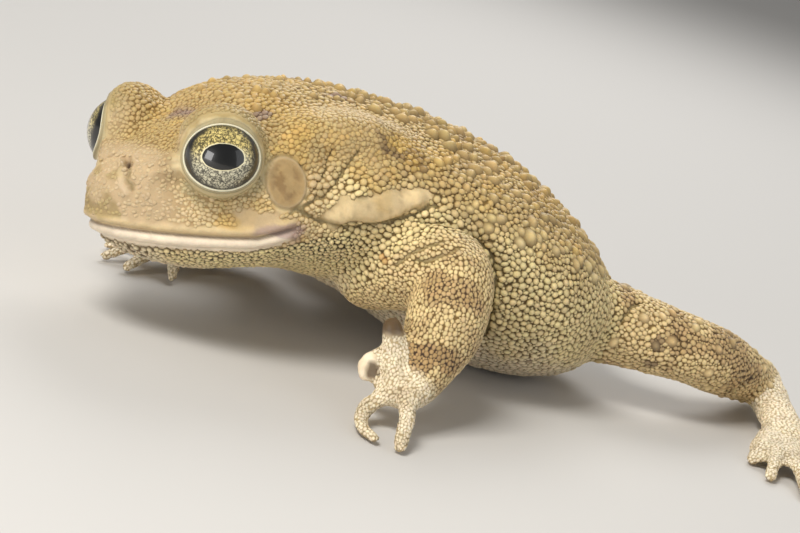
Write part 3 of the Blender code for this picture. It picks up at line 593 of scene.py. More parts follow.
def bump(distance, width):
    """A bell of height 1: exp(-(distance / width)^2)."""
    return np.exp(-((distance / width) ** 2))


def bumps(value, rows):
    """A sum of bells, each given by its place, width and height."""
    return sum(height * bump(value - place, width) for place, width, height in rows)


def blob(points, centre, radii):
    """1 inside an ellipsoid, 0 outside, with a soft edge."""
    away = np.linalg.norm((points - np.asarray(centre)) / np.asarray(radii), axis=1)
    return 1 - smoothstep(0.75, 1.2, away)


# %% Anatomy
EYE_AXES = np.stack([np.cross(gaze(1), (0, 0, 1.0)), np.zeros(3), gaze(1)])
EYE_AXES[0] /= np.linalg.norm(EYE_AXES[0])
EYE_AXES[1] = np.cross(EYE_AXES[0], EYE_AXES[2])
EAR_CENTRE = np.array([17.6, 23.6, 16.2])
EAR_HALF = (2.75, 3.55)
EAR_FROM = 13                  # the ears lie further out than this
LID_ZONE = (6.5, 7.7)          # the lids fade out between these distances from the eyeball's middle
MOUTH_END, HEAD_END = (23.5, 26.5), (27, 33)           # distances back over which these fade out
BODY_EDGE, TUBE_EDGE = (1.12, 1.5), (1.3, 1.7)         # a limb starts outside the one, inside the other
FAR = 9.0
CURVES = {name: through(rows, FINE_SAMPLES) for name, rows in TUBES.items()}


def mirrored(straight):
    """Both sides of the body laid on the left one."""
    return np.column_stack([abs(straight[:, 0]), straight[:, 1:]])


def body_level(straight):
    """|x/a|^n + |z/b|^n of a point in its section of BODY: 1 on the loft and more outside it."""
    rows = np.asarray(BODY)
    level, half, rise, depth = (np.interp(straight[:, 1], rows[:, 0], rows[:, i]) for i in range(1, 5))
    height = straight[:, 2] - level
    exponent = squareness(straight[:, 1], height > 0)
    reach = np.where(height > 0, rise, depth)
    return (abs(straight[:, 0]) / half) ** exponent + (abs(height) / reach) ** exponent


def opening_edge(round_eye):
    """Angle from the gaze at which the lids end, for a direction round the eye."""
    reach = 1 / np.hypot(np.cos(round_eye) / EYE_OPENING[0], np.sin(round_eye) / EYE_OPENING[1])
    return np.arcsin(reach / EYE_RADIUS)


def about_eye(half):
    """Angle from the gaze as a share of the lids' edge, direction round the eye, and distance."""
    away = half - EYE
    distance = np.linalg.norm(away, axis=1)
    forward, upward, outward = (away / distance[:, None] @ EYE_AXES.T).T
    round_eye = np.arctan2(upward, forward)
    return np.arccos(np.clip(outward, -1, 1)) / opening_edge(round_eye), round_eye, distance


def over_mouth(half):
    """Height over the line of the mouth, and a share that fades behind its corner."""
    height = half[:, 2] - np.interp(half[:, 1], *np.transpose(MOUTH))
    return height, 1 - smoothstep(*MOUTH_END, half[:, 1])


def on_bulge(half):
    """1 on the smooth gland between ear and shoulder, with a broken edge."""
    return smoothstep(2.5, 1.6, near_line(half, BULGE) + 2.4 * (noise(half, 2.2, 26) - 0.5))


def about_ear(half):
    """Distance from the middle of the eardrum, in its radii."""
    back, up = ((half[:, 1:] - EAR_CENTRE[1:]) / EAR_HALF).T
    return np.where(half[:, 0] > EAR_FROM, np.hypot(back, up), FAR)


FOLDS = (                       # on both sides of the body: a line, its depth and its width
    (((17.3, 25.3, 12.3), (18.0, 28.5, 10.9), (18.7, 32.5, 10.4), (20.4, 36.5, 11.4), (21.3, 40.2, 13.2),
      (21.3, 42.9, 15.0), (21.0, 45.2, 16.4)), 0.60, 0.50),
    (((18.0, 28.6, 15.4), (17.6, 26.8, 13.4), (16.9, 24.0, 11.9)), 0.40, 0.32),
    (((17.1, 30.2, 21.2), (17.3, 29.2, 18.3), (17.5, 27.8, 15.9), (17.4, 26.4, 14.0)), 0.34, 0.30),
    (((17.6, 33.9, 21.2), (18.1, 31.7, 18.3), (18.1, 29.6, 15.4), (17.8, 27.6, 13.6), (17.3, 25.6, 12.3)),
     0.40, 0.34),
)
BULGE = ((18.9, 31.4, 12.4), (20.4, 35.5, 13.6), (21.2, 39.5, 15.4), (21.0, 42.0, 16.6))
LIMB_FOLDS = (                  # in the pose: behind the left arm, across it, and on the leg
    (((21.4, 46.6, 26.7), (22.3, 49.1, 27.0), (23.4, 52.6, 26.9), (23.4, 55.8, 25.3), (24.0, 58.4, 23.4),
      (24.4, 59.8, 20.9), (24.1, 60.8, 17.3), (23.2, 61.9, 14.0), (21.6, 63.4, 9.6)), 0.9, 0.55),
    (((24.6, 44.6, 21.4), (26.8, 45.5, 22.3), (28.0, 47.0, 23.8), (28.3, 49.4, 25.4)), 0.32, 0.40),
    (((23.0, 43.0, 20.0), (25.2, 44.8, 23.6), (26.6, 47.2, 25.8)), 0.22, 0.40),
    (((17.3, 90.5, 14.3), (16.7, 91.3, 16.0), (15.9, 92.7, 17.3), (15.1, 94.5, 17.9)), 0.60, 0.50),
    (((19.2, 100.4, 14.8), (19.9, 101.2, 13.5), (20.4, 101.5, 11.7)), 0.45, 0.40),
    (((18.3, 117.3, 6.4), (18.5, 118.5, 8.3), (17.3, 120.9, 9.5)), 0.50, 0.50),
)
FACE_LINES = {                  # on both sides: a line, its depth and its width
    "nostril": (((1.7, 6.5, 18.1), (2.2, 6.1, 18.0), (2.9, 5.9, 17.6)), 1.0, 0.48),
    "canthus": (((9.4, 9.4, 18.6), (7.8, 7.6, 18.0), (6.0, 6.6, 17.8)), 0.25, 0.5),
    "ridge": (((2.6, 4.8, 16.8), (3.4, 4.6, 15.4), (4.5, 4.8, 14.0)), -0.28, 0.65),
    "groove": (((3.7, 5.4, 17.2), (4.2, 5.1, 15.8), (5.1, 5.4, 14.6)), 0.40, 0.35),
}


class Marks:
    """Lines drawn on the skin. Each is kept as a row of the skin's own points, so it sinks with them."""

    def __init__(self, points):
        both = {name: (line,) for name, line in FACE_LINES.items()}
        both["fold"] = FOLDS
        self.rows = {name: [] for name in both}
        for name, lines in both.items():
            for side in (1, -1):
                for line, depth, width in lines:
                    self.draw(name, spine.bend(on_side(line, side)), depth, width, points)
        for line, depth, width in LIMB_FOLDS:
            self.draw("fold", line, depth, width, points)
        self.points = points

    def draw(self, name, line, depth, width, points):
        """Takes the skin's point nearest to each step of a smooth line."""
        nearest = [int(np.argmin(((points - place) ** 2).sum(1))) for place in through(line, 3)]
        self.rows[name].append((list(dict.fromkeys(nearest)), depth, width))

    def share(self, name, points):
        """How much each point is on the lines of a name, 0 to 1, and how deep these lie there."""
        share, depth_there = np.zeros(len(points)), np.zeros(len(points))
        for row, depth, width in self.rows[name]:
            line = self.points[row]
            reach = 3 * width
            inside = (points > line.min(0) - reach) & (points < line.max(0) + reach)
            near = np.flatnonzero(inside.all(axis=1))
            bell = bump(near_line(points[near], line), width)
            share[near] = np.maximum(share[near], bell)
            deeper = abs(depth * bell) > abs(depth_there[near])
            depth_there[near[deeper]] = depth * bell[deeper]
        return share, depth_there


class Places:
    """Where points of the pose lie on the animal."""

    def __init__(self, pose, marks=None):
        self.pose = pose
        self.straight = spine.straighten(pose)
        self.half = mirrored(self.straight)
        closest = np.full(len(pose), np.inf)
        self.tube = np.zeros(len(pose), int)
        self.along = np.zeros(len(pose))
        self.lie = np.zeros((len(pose), 3))
        for index, curve in enumerate(CURVES.values()):
            direction = unit(np.gradient(curve[:, :3], axis=0))
            for step, row in enumerate(curve):
                away = np.linalg.norm(pose - row[:3], axis=1) / (row[3] + row[4]) * 2
                nearer = away < closest
                closest[nearer] = away[nearer]
                self.tube[nearer] = index
                self.along[nearer] = step / (len(curve) - 1)
                self.lie[nearer] = direction[step]
        self.limb = smoothstep(*BODY_EDGE, body_level(self.straight)) * (1 - smoothstep(*TUBE_EDGE, closest))
        self.body = 1 - self.limb
        _, turn = spine.at(self.straight[:, 1])
        self.lie = np.where(self.limb[:, None] > 0.5, self.lie, turn[:, :, 1])
        self.eye, self.round_eye, self.eye_distance = about_eye(self.half)
        self.below_eye = smoothstep(0.35, -0.35, np.sin(self.round_eye))
        self.mouth, self.mouth_share = over_mouth(self.half)
        self.ear = about_ear(self.half)
        self.on_head = (1 - smoothstep(*HEAD_END, self.half[:, 1])) * self.body
        self.near_eye = (1 - smoothstep(*LID_ZONE, self.eye_distance)) * self.body
        shares = {name: marks.share(name, pose) for name in marks.rows} if marks else {}
        self.on_line = {name: share for name, (share, _) in shares.items()}
        self.line_depth = sum(depth for _, depth in shares.values())

    def limb_is(self, *words):
        """1 where the nearest limb's name starts with one of the words, on the limb itself."""
        right = [i for i, name in enumerate(CURVES) if name.startswith(words)]
        return np.isin(self.tube, right) * self.limb


print("eye looks along", EYE_AXES[2].round(2))

# %% [markdown]
# ## Relief
#
# The fused skin is smooth. Here it gets its carved forms: the eye opening with its two thin lid
# rolls, the lips on either side of a narrow slit, nostrils with a raised rim, the sunken eardrum
# and the folds of the neck. Each is a bell-shaped rise or groove, exp(-(d/w)^2), with d the
# distance to a line or ring. The skin also sinks by the depth of the granules that will stand on
# it, so that these end about where the solids do.

# %% Refine round the fine forms
COAT = 0.28                    # depth by which the skin lies under the solids


def refined(mesh, chosen, smoothing):
    """Cuts each edge between chosen points in two, then smooths there."""
    editor = bmesh.new()
    editor.from_mesh(mesh)
    edges = [edge for edge in editor.edges if chosen[edge.verts[0].index] and chosen[edge.verts[1].index]]
    fresh = bmesh.ops.subdivide_edges(editor, edges=edges, cuts=1, use_grid_fill=True)["geom"]
    bmesh.ops.triangulate(editor, faces=[face for face in editor.faces if len(face.verts) > 4])
    touched = {item for item in fresh if isinstance(item, bmesh.types.BMVert)}
    for _ in range(smoothing):
        axes = {"use_axis_x": True, "use_axis_y": True, "use_axis_z": True}
        bmesh.ops.smooth_vert(editor, verts=list(touched), factor=0.5, **axes)
    editor.to_mesh(mesh)
    editor.free()


def head_zone(places, marks):
    """Face, ears and folds, which get a finer grid than the trunk."""
    straight = places.straight
    face = (straight[:, 1] < 28) & (abs(straight[:, 0]) < 21) & (straight[:, 2] > 5) & (places.limb < 0.5)
    folds = np.full(len(straight), np.inf)
    for row, _, _ in marks.rows["fold"]:
        folds = np.minimum(folds, near_line(places.pose, marks.points[row]))
    return face | (folds < 1.5)


def fine_zone(places, _):
    """Lips, lids, nostrils and ears, which get a finer grid again."""
    head = (places.half[:, 1] < 28) & (places.limb < 0.5)
    lips = (abs(places.mouth + 0.4) < 2.0) & (places.half[:, 1] < 26)
    lids = (places.eye > 0.90) & (places.eye < 1.36) & (places.near_eye > 0)
    nose = np.linalg.norm(places.half - FACE_LINES["nostril"][0][0], axis=1) < 2.4
    return head & (lips | lids | nose | (abs(places.ear - 1.08) < 0.24))


for zone, smoothing in ((head_zone, 2), (fine_zone, 1)):
    marks = Marks(vectors_of(skin_mesh))
    refined(skin_mesh, zone(Places(marks.points), marks), smoothing)
marks = Marks(vectors_of(skin_mesh))
places = Places(marks.points, marks)
print("refined skin:", triangles_of(skin_mesh), "triangles")

# %% Carve
FLOOR_CLEARANCE = 0.03
LID_GAP = 0.2                  # the lids stand at least this far off the eyeball
LIPS = ((1.0, 0.75, 0.30), (0.0, 0.35, -0.50), (-1.1, 0.65, 0.38), (-2.1, 0.3, -0.30))
LOWER_LID = ((1.06, 0.035, 0.16), (1.13, 0.03, -0.16), (1.21, 0.05, 0.16))
UPPER_LID = ((1.05, 0.03, 0.12), (1.10, 0.025, -0.10))


def relief(places):
    """How far each point rises, in millimetres, apart from the eye's opening."""
    half, head, bulge = places.half, places.on_head, on_bulge(places.half)
    lift = -COAT + 0.3 * (noise(half, 5.0, 1) - 0.5) + 0.22 * (noise(half, 2.2, 2) - 0.5) * (1 - head)
    bulge_end = np.linalg.norm(half - BULGE[-1], axis=1)
    lift += 0.30 * bump(near_line(half, BULGE), 1.7) + 0.35 * bump(bulge_end, 1.3)
    lift += 1.1 * (noise(half, 2.2, 4) - 0.5) * bulge
    snout = head * smoothstep(16, 10, half[:, 1])
    lift += 0.2 * (noise(half, 1.1, 3) - 0.5) * np.maximum(bulge, snout)
    lift += places.mouth_share * places.body * bumps(places.mouth, LIPS)
    rim = near_line(half, FACE_LINES["nostril"][0])
    lift += 0.40 * bump(rim - 0.95, 0.38) * places.body
    lift -= places.line_depth
    sunk = (0.22 + 0.16 * (noise(half, 1.0, 5) - 0.5)) * (1 - smoothstep(0.6, 1.0, places.ear))
    lift += 0.12 * bump(places.ear - 1.24, 0.10) - sunk
    lift -= 0.20 * bump(places.ear - 1.06, 0.08)
    lift -= 0.30 * bump(places.eye - 1.52, 0.06) * places.near_eye
    return lift


def lid_profile(eye, below):
    """Radius of the lids over the eyeball's, from the opening outwards."""
    edge = -0.9 + 1.15 * smoothstep(0.93, 1.02, eye)
    upper = bumps(eye, UPPER_LID) + 0.30 * smoothstep(1.08, 1.2, eye)
    return edge + upper + (bumps(eye, LOWER_LID) - upper) * below


def carved(places, normals):
    """The skin with its relief, in the pose."""
    points = places.pose + normals * relief(places)[:, None]
    straight = spine.straighten(points)
    half = mirrored(straight)
    eye, _, distance = about_eye(half)
    lids = (distance < LID_ZONE[1]) & (eye < 1.75) & (places.limb < 0.5)
    wanted = EYE_RADIUS + lid_profile(eye, places.below_eye)
    blend = (1 - smoothstep(1.08, 1.7, eye)) * (1 - smoothstep(*LID_ZONE, distance))
    outside = np.maximum(distance + (wanted - distance) * blend, EYE_RADIUS + LID_GAP)
    radius = np.where(eye < 1.04, wanted, outside)
    half[lids] = (EYE + (half - EYE) / distance[:, None] * radius[:, None])[lids]
    half[:, 0] *= np.sign(straight[:, 0])
    bent = spine.bend(half)
    bent[~lids] = points[~lids]
    bent[:, 2] = np.maximum(bent[:, 2], FLOOR_CLEARANCE)
    return bent


skin_points = carved(places, vectors_of(skin_mesh, "normal"))
skin_mesh.vertices.foreach_set("co", skin_points.ravel())
skin_mesh.update()
print("carved; lowest point", round(float(skin_points[:, 2].min()), 2), "mm")

# %% [markdown]
# ## Colours
#
# The markings are washes laid over one another, each a soft band or blob on the body with its
# edge broken by the random field. Every wash holds two colours: one for the tops of the granules
# and one for the grooves between them, whose darker colour is partly the skin's own and partly
# painted shade. A few washes are painted shade alone: in folds and creases, at the lids' edges,
# round the eardrums, between the lips and in the nostrils. The granules and the skin under them
# both ask this same function, so that they match.

# %% Palette


def linear(red, green, blue):
    """Linear colour from sRGB values of 0 to 255."""
    value = np.array([red, green, blue]) / 255
    return np.where(value <= 0.04045, value / 12.92, ((value + 0.055) / 1.055) ** 2.4)


PALETTE = {                     # tops of granules and grooves, or one colour for both
    "back": (200, 172, 116, 104, 80, 42), "flank": (236, 214, 158, 96, 76, 36),
    "belly": (218, 202, 174, 120, 102, 72), "mottle": (172, 148, 102, 116, 96, 58),
    "blotch": (176, 146, 84, 104, 80, 44), "edge": (116, 92, 64, 74, 56, 42),
    "ochre": (208, 172, 100, 156, 124, 66), "orange": (206, 150, 78, 136, 90, 48),
    "gland": (222, 197, 152, 190, 162, 116), "head": (214, 190, 144, 166, 136, 88),
    "crown": (190, 164, 112, 134, 106, 60), "parotoid": (200, 172, 120, 172, 142, 92),
    "snout": (196, 171, 134, 188, 163, 126), "olive": (166, 144, 76, 132, 112, 56),
    "lid": (200, 184, 142, 176, 160, 118), "lid_top": (158, 134, 84, 150, 126, 78),
    # The lid groove colour is painted shade at the lids' edge and between the two lid rolls.
    "lid_roll": (222, 214, 186), "lid_groove_shade": (140, 130, 100),
    "upper_lip": (212, 188, 144, 190, 160, 116), "lower_lip": (228, 212, 188, 204, 184, 154),
    # The mouth's slit colour is painted shade in the gap between the lips; the throat's near-black grooves
    # are partly olive skin and partly painted shade.
    "slit_shade": (78, 56, 44), "throat": (236, 215, 160, 46, 38, 14),
    "purple": (160, 134, 130, 124, 96, 98), "violet": (146, 124, 122, 92, 72, 78),
    "ear": (168, 141, 96, 150, 123, 82), "ear_mark": (124, 94, 58),
    # The crease colour is painted shade in the folds, in the groove beside the nose and in the ring round the
    # eardrum.
    "crease_shade": (120, 104, 62, 84, 72, 40), "limb": (230, 203, 150, 120, 94, 50),
    "bar": (180, 147, 98, 64, 45, 34), "foot": (246, 230, 202, 190, 168, 128),
    # The pad colour is the thumb's own dark pad and also painted shadow in the curled finger's hollow; the
    # nostril colour is painted shade inside the nostrils.
    "pad": (84, 64, 40, 76, 56, 34), "nostril": (70, 52, 40),
}
COLOURS = {name: (linear(*rgb[:3]), linear(*rgb[-3:])) for name, rgb in PALETTE.items()}


class Coat:
    """The colours of tops and grooves at each place, and random fields to break the washes' edges."""

    def __init__(self, places):
        half = places.half
        self.tops, self.grooves = (np.tile(colour, (len(half), 1)) for colour in COLOURS["flank"])
        self.warp = noise(half, 4.0, 11) - 0.5
        self.fine = noise(half, 1.4, 12) - 0.5
        self.rough = shaken(half, half, 2.6, 13, 3.0)
        self.ragged = shaken(self.rough, half, 0.9, 16, 1.6)

    def wash(self, name, share):
        """Lays a colour over both, by a share for each place."""
        share = np.clip(share, 0, 1)[:, None]
        for there, colour in zip((self.tops, self.grooves), COLOURS[name]):
            there += (colour - there) * share


print("colours:", len(COLOURS))

# %% Trunk
BLOTCHES = (                    # ochre with a dark broken edge: place, reach and strength
    ((16.6, 40.2, 23.8), (2.6, 3.4, 3.2), 1.0), ((18.6, 41.6, 21.0), (1.9, 2.2, 2.6), 0.8),
    ((8.0, 57.0, 27.0), (3.0, 3.0, 3.0), 0.6), ((16.0, 66.0, 21.0), (3.0, 4.0, 3.4), 0.5),
    ((5.0, 78.0, 22.0), (3.0, 4.0, 3.4), 0.5),
)


def wash_trunk(coat, places):
    """Pale flanks under a brown back, ochre patches with dark edges, and the smooth gland."""
    wash, warp, rough, ragged = coat.wash, coat.warp, coat.rough, coat.ragged
    half, body, y, z = places.half, places.body, places.half[:, 1], places.half[:, 2]
    wash("back", smoothstep(13, 21, z + 6 * warp) * body)
    wash("belly", smoothstep(5, -3, z + 5 * warp) * body * smoothstep(30, 42, y))
    aged = smoothstep(0.60, 0.75, noise(half, 5.5, 21)) * smoothstep(9, 16, z) * body
    wash("mottle", 0.45 * aged * smoothstep(34, 42, y))
    wash("ochre", 0.5 * smoothstep(0.60, 0.75, noise(half, 2.4, 22)) * smoothstep(15, 19, z) * body)
    wash("parotoid", 0.85 * blob(rough, PAROTOID[0], np.array(PAROTOID[1]) * (1.3, 0.95, 1.1)))
    broken = smoothstep(0.35, 0.6, noise(half, 1.6, 24))
    for centre, radii, strength in BLOTCHES:
        shape = np.linalg.norm((ragged - centre) / radii, axis=1)
        wash("ochre", strength * (1 - smoothstep(0.6, 1.2, shape)) * body)
        wash("blotch", 0.6 * strength * bump(shape - 0.75, 0.3) * body)
        wash("edge", 0.8 * strength * bump(shape - 1.0, 0.2) * broken * body)
    bulge = on_bulge(half) * body
    wash("gland", 0.8 * bulge)
    wash("edge", 0.3 * smoothstep(0.64, 0.76, noise(half, 0.5, 28)) * bulge)
    wash("ochre", 0.35 * blob(ragged, NECK_ROLL[0] + np.array([3.5, -1, 1.5]), (3, 3, 2)) * body)


print("blotches:", len(BLOTCHES))

# %% Face and eyes
CHEEK = ((15.2, 18.6, 11.2), (2.8, 4.2, 1.5))    # smooth skin under the eye's rear half
FACE_SPOTS = (                  # colour, strength, place and reach
    ("olive", 0.55, (2.0, 3.2, 11.6), (2.4, 2.0, 2.4)), ("olive", 0.45, (2.4, 4.4, 16.4), (1.2, 1.4, 1.3)),
)
JAW_SPOT = ((14.0, 15.6, 11.2), (2.0, 1.6, 1.7))
OCHRE_SPOTS = (((15.4, 25.9, 22.9), (1.7, 1.5, 1.3), 0.7), ((17.2, 31.0, 22.7), (1.6, 1.5, 1.3), 0.6),
               ((17.6, 29.4, 21.0), (1.4, 1.4, 1.8), 0.5))
PURPLE_DASHES = ((10.4, 23.8, 24.8), (7.7, 35.8, 27.6), (12.8, 26.8, 23.8))


def on_cheek(coat, places):
    """1 on the smooth cheek, with a broken edge."""
    return blob(places.half + 0.9 * coat.fine[:, None], *CHEEK) * places.on_head


def wash_face(coat, places):
    """Head, crown, snout, cheek and throat, and the small spots on them."""
    wash, warp, ragged = coat.wash, coat.warp, coat.ragged
    half, head, body, y, z = places.half, places.on_head, places.body, places.half[:, 1], places.half[:, 2]
    wash("head", head * smoothstep(3, 8, z))
    wash("crown", head * smoothstep(13, 18, z + 3 * warp - 3 * smoothstep(24, 28, y)))
    wash("ochre", 0.45 * head * smoothstep(0.55, 0.75, noise(half, 2.6, 23)) * smoothstep(10, 16, y))
    wash("snout", (1 - smoothstep(8, 14, y + 5 * warp)) * body)
    for name, strength, centre, radii in FACE_SPOTS:
        wash(name, strength * blob(ragged, centre, radii) * body)
    wash("snout", 0.6 * on_cheek(coat, places))
    wash("ochre", 0.6 * blob(ragged, *JAW_SPOT) * body)
    for centre, radii, strength in OCHRE_SPOTS:
        wash("orange", strength * (0.3 + 0.5 * coat.fine) * blob(ragged, centre, radii))
        wash("ochre", 0.7 * strength * blob(ragged, centre, radii))
    throat = smoothstep(-1.9, -2.5, places.mouth + warp) * smoothstep(40, 33, y + 8 * warp) * body
    # the throat's near-black grooves are partly olive skin and partly painted shade between its granules
    wash("throat", throat * smoothstep(12.5, 10.5, z))
    wash("belly", 0.8 * throat * smoothstep(9, 4, half[:, 0] + 3 * warp))


def wash_eyes(coat, places):
    """Lids with their pale rolls and painted shade in their grooves, and the violet dip between the eyes."""
    wash, warp, body, eye, half = coat.wash, coat.warp, places.body, places.eye, places.half
    corner = smoothstep(0.7, 0.9, np.cos(places.round_eye)) * smoothstep(1.12, 1.25, eye)
    lid = smoothstep(1.75, 1.45, eye) * places.near_eye * (1 - 0.85 * corner)
    wash("lid", 0.8 * lid)
    wash("lid_top", 0.8 * lid * (1 - places.below_eye) * smoothstep(1.09, 1.16, eye + 0.1 * coat.fine))
    # painted shade where the lids meet the eyeball and in the groove between the two lid rolls
    wash("lid_groove_shade", 0.9 * lid * (bump(eye - 1.07, 0.04) + bump(eye - 1.0, 0.03)))
    wash("lid_roll", 0.35 * lid * (0.25 + 0.75 * places.below_eye) * bump(eye - 1.21, 0.04))
    valley = smoothstep(4.6, 3.0, half[:, 0] + 2 * warp) * bump(half[:, 1] - 17.6 + 2 * warp, 0.8)
    wash("violet", 0.7 * valley * (half[:, 2] > 15) * body)
    for dash in PURPLE_DASHES:
        wash("violet", 0.6 * blob(coat.rough, dash, (1.1, 1.6, 1.1)) * body)


print("spots on the face:", len(FACE_SPOTS) + len(OCHRE_SPOTS) + len(PURPLE_DASHES))

# %% Mouth and ears
MOUTH_CORNER = ((16.6, 22.6, 9.4), (3.6, 3.8, 1.3))
DARK_SPOTS = ((20.4, 72.6, 0.5), (24.0, 66.0, 2.0))


def wash_mouth_and_ears(coat, places):
    """Two pale lips with painted shade in the gap between them, eardrums with a mottled middle, painted shade
    in the groove round the eardrums, in the nostrils and beside the nose, and dark spots.
    """
    wash, half, body, head, ear = coat.wash, places.half, places.body, places.on_head, places.ear
    mouth, share, on_line = places.mouth, places.mouth_share * body, places.on_line
    wash("upper_lip", smoothstep(1.6, 0.8, mouth + coat.fine) * smoothstep(-0.25, 0.25, mouth) * share)
    wash("lower_lip", smoothstep(0.25, -0.25, mouth) * smoothstep(-2.4, -1.9, mouth) * share)
    wash("purple", 0.7 * blob(coat.rough, *MOUTH_CORNER) * body)
    # painted shade in the gap between the lips
    wash("slit_shade", 0.65 * bump(mouth, 0.24) * share)
    wash("ear", smoothstep(1.12, 0.98, ear) * head)
    marked = 0.5 * noise(half, 1.6, 25) + 0.5 * noise(half, 0.45, 27)
    wash("ear_mark", 0.6 * smoothstep(0.44, 0.62, marked) * smoothstep(1.0, 0.5, ear) * head)
    wash("belly", 0.25 * bump(ear - 0.98, 0.06) * head)
    # painted shade in the groove round the eardrum
    wash("crease_shade", 0.40 * bump(ear - 1.06, 0.07) * head)
    # painted shade inside the nostril openings
    wash("nostril", on_line["nostril"])
    # painted shade in the groove beside the nose ridge
    wash("crease_shade", 0.8 * on_line["groove"])
    wash("belly", 0.2 * on_line["ridge"])
    for spot in DARK_SPOTS:
        wash("edge", 0.85 * blob(coat.rough, spot, (0.9, 0.9, 0.9)) * body)


print("dark spots:", len(DARK_SPOTS))

# %% Limbs
ARMS, FEET = ("left_arm", "right_arm"), ("left_foot", "right_foot")
LEGS = ("left_leg", "right_thigh", "right_shank")
BARS = (                        # on the left arm: place, reach and strength
    ((31.6, 46.6, 19.8), (4.6, 5.6, 1.9), 0.75), ((34.6, 50.6, 20.4), (2.6, 2.6, 2.4), 0.7),
    ((36.0, 44.6, 10.8), (5.4, 6.4, 1.8), 0.95), ((33.0, 49.0, 12.6), (3.4, 4.0, 1.2), 0.6),
)
LEG_SPOTS = (
    (19.1, 96.7, 12.6), (18.9, 97.7, 9.4), (17.5, 103.0, 14.0), (15.5, 117.0, 9.0), (10.0, 92.0, 19.0),
)
THUMB_TIP = ((31.0, 40.3, 14.0), (2.8, 2.8, 2.5))
CURLED_FINGER = ((30.5, 38.6, 6.4), (2.2, 2.0, 2.8))
# where painted shadow fills the hollow of the curled finger
FINGER_HOLLOW_SHADE = ((31.7, 39.3, 6.5), (1.0, 1.2, 1.5))
HAND_SPOT = ((39.4, 41.4, 6.2), (1.9, 1.9, 1.6))
SHOULDER_SPOT = ((20.9, 42.2, 19.8), (0.8, 0.8, 0.8))


def on_hands(coat, places):
    """1 on hands and feet, fading out up the limbs."""
    along = places.along + 0.1 * coat.fine
    hands = places.limb_is(*DIGITS)
    hands += places.limb_is(*ARMS) * smoothstep(0.8, 0.93, places.along)
    hands += places.limb_is(*FEET) * smoothstep(-0.2, 0.2, along)
    hands += places.limb_is("left_leg", "right_shank") * smoothstep(0.84, 1.0, along) * 0.5
    return np.clip(hands, 0, 1)


def wash_limbs(coat, places):
    """Barred limbs, pale hands and feet, the dark thumb tip, and painted shade in the folds and in the curled
    finger's hollow.
    """
    wash, pose, limb, hands = coat.wash, places.pose, places.limb, on_hands(coat, places)
    wash("limb", limb)
    # painted shade in the folds of neck, arm and leg
    wash("crease_shade", 0.9 * places.on_line["fold"])
    legs = places.limb_is(*LEGS) * (1 - hands) * smoothstep(2, 8, pose[:, 2])
    wash("bar", 0.65 * smoothstep(0.56, 0.70, noise(pose, 4.6, 31)) * legs)
    uneven = shaken(pose, pose, 2.0, 35, 2.6)
    for centre, radii, strength in BARS:
        wash("bar", strength * blob(uneven, centre, radii) * limb)
    flecks = smoothstep(0.6, 0.72, noise(pose, 2.2, 32)) * places.limb_is(*ARMS)
    wash("bar", 0.35 * flecks * (1 - hands))
    wash("foot", 0.9 * hands)
    wash("bar", 0.25 * hands * smoothstep(0.6, 0.75, noise(pose, 1.8, 33)))
    wash("pad", 0.98 * blob(pose, *THUMB_TIP) * hands)
    # painted shadow in the hollow of the curled finger
    wash("pad", 0.9 * blob(pose, *FINGER_HOLLOW_SHADE) * hands)
    wash("bar", 0.35 * blob(uneven, *HAND_SPOT) * hands)
    wash("orange", 0.6 * blob(pose, *SHOULDER_SPOT))
    for spot in LEG_SPOTS:
        wash("edge", 0.75 * blob(uneven, spot, (1.2, 1.2, 1.0)) * limb)


print("bars:", len(BARS), "spots on the legs:", len(LEG_SPOTS))

# %% Paint


def bareness(coat, places):
    """1 where the skin is bare of granules: lips, lids, ears, cheek, gland, pads and grooves."""
    mouth, fine, on_line = places.mouth, coat.fine, places.on_line
    lips_reach = places.mouth_share * places.body
    pads = blob(places.pose, *THUMB_TIP) + blob(places.pose, *CURLED_FINGER)
    return np.clip(
        smoothstep(1.9, 1.3, mouth + fine) * smoothstep(-2.5, -2.0, mouth) * lips_reach
        + smoothstep(1.30, 1.20, places.eye + 0.25 * fine - 0.12 * places.below_eye) * places.near_eye
        + 0.95 * (on_bulge(places.half) * places.body) + pads * on_hands(coat, places)
        + 0.8 * on_cheek(coat, places) + smoothstep(1.3, 1.15, places.ear) * places.on_head
        + 2 * on_line["nostril"] + smoothstep(0.4, 0.7, on_line["groove"] + on_line["ridge"])
        + smoothstep(0.45, 0.7, on_line["fold"]),
        0, 1,
    )


def paint(places):
    """Colours of granule tops and of grooves, and how bare of granules the skin is."""
    coat = Coat(places)
    for wash_part in (wash_trunk, wash_face, wash_eyes, wash_mouth_and_ears, wash_limbs):
        wash_part(coat, places)
    shade = 1 + 0.18 * (noise(places.half, 7.0, 41) - 0.5) + 0.14 * (noise(places.half, 1.1, 42) - 0.5)
    return coat.tops * shade[:, None], coat.grooves * shade[:, None], bareness(coat, places)


marks.points = skin_points
skin_places = Places(skin_points, marks)
skin_tops, skin_grooves, skin_bare = paint(skin_places)
print("share of bare skin", round(float(skin_bare.mean()), 2))

# %% [markdown]
# ## Materials
#
# A small class wraps a node's output so that shader arithmetic reads like ordinary sums. The
# skin's colour arrives as the attribute "paint". The shader adds a fine irregularity to it, a
# slight sheen on the tops and a grain too small to model. The eye's shader draws the iris from
# its own coordinates: gold with dark branching veins, a bright line round a flat pupil and a
# black outer ring.

# %% Sockets with arithmetic


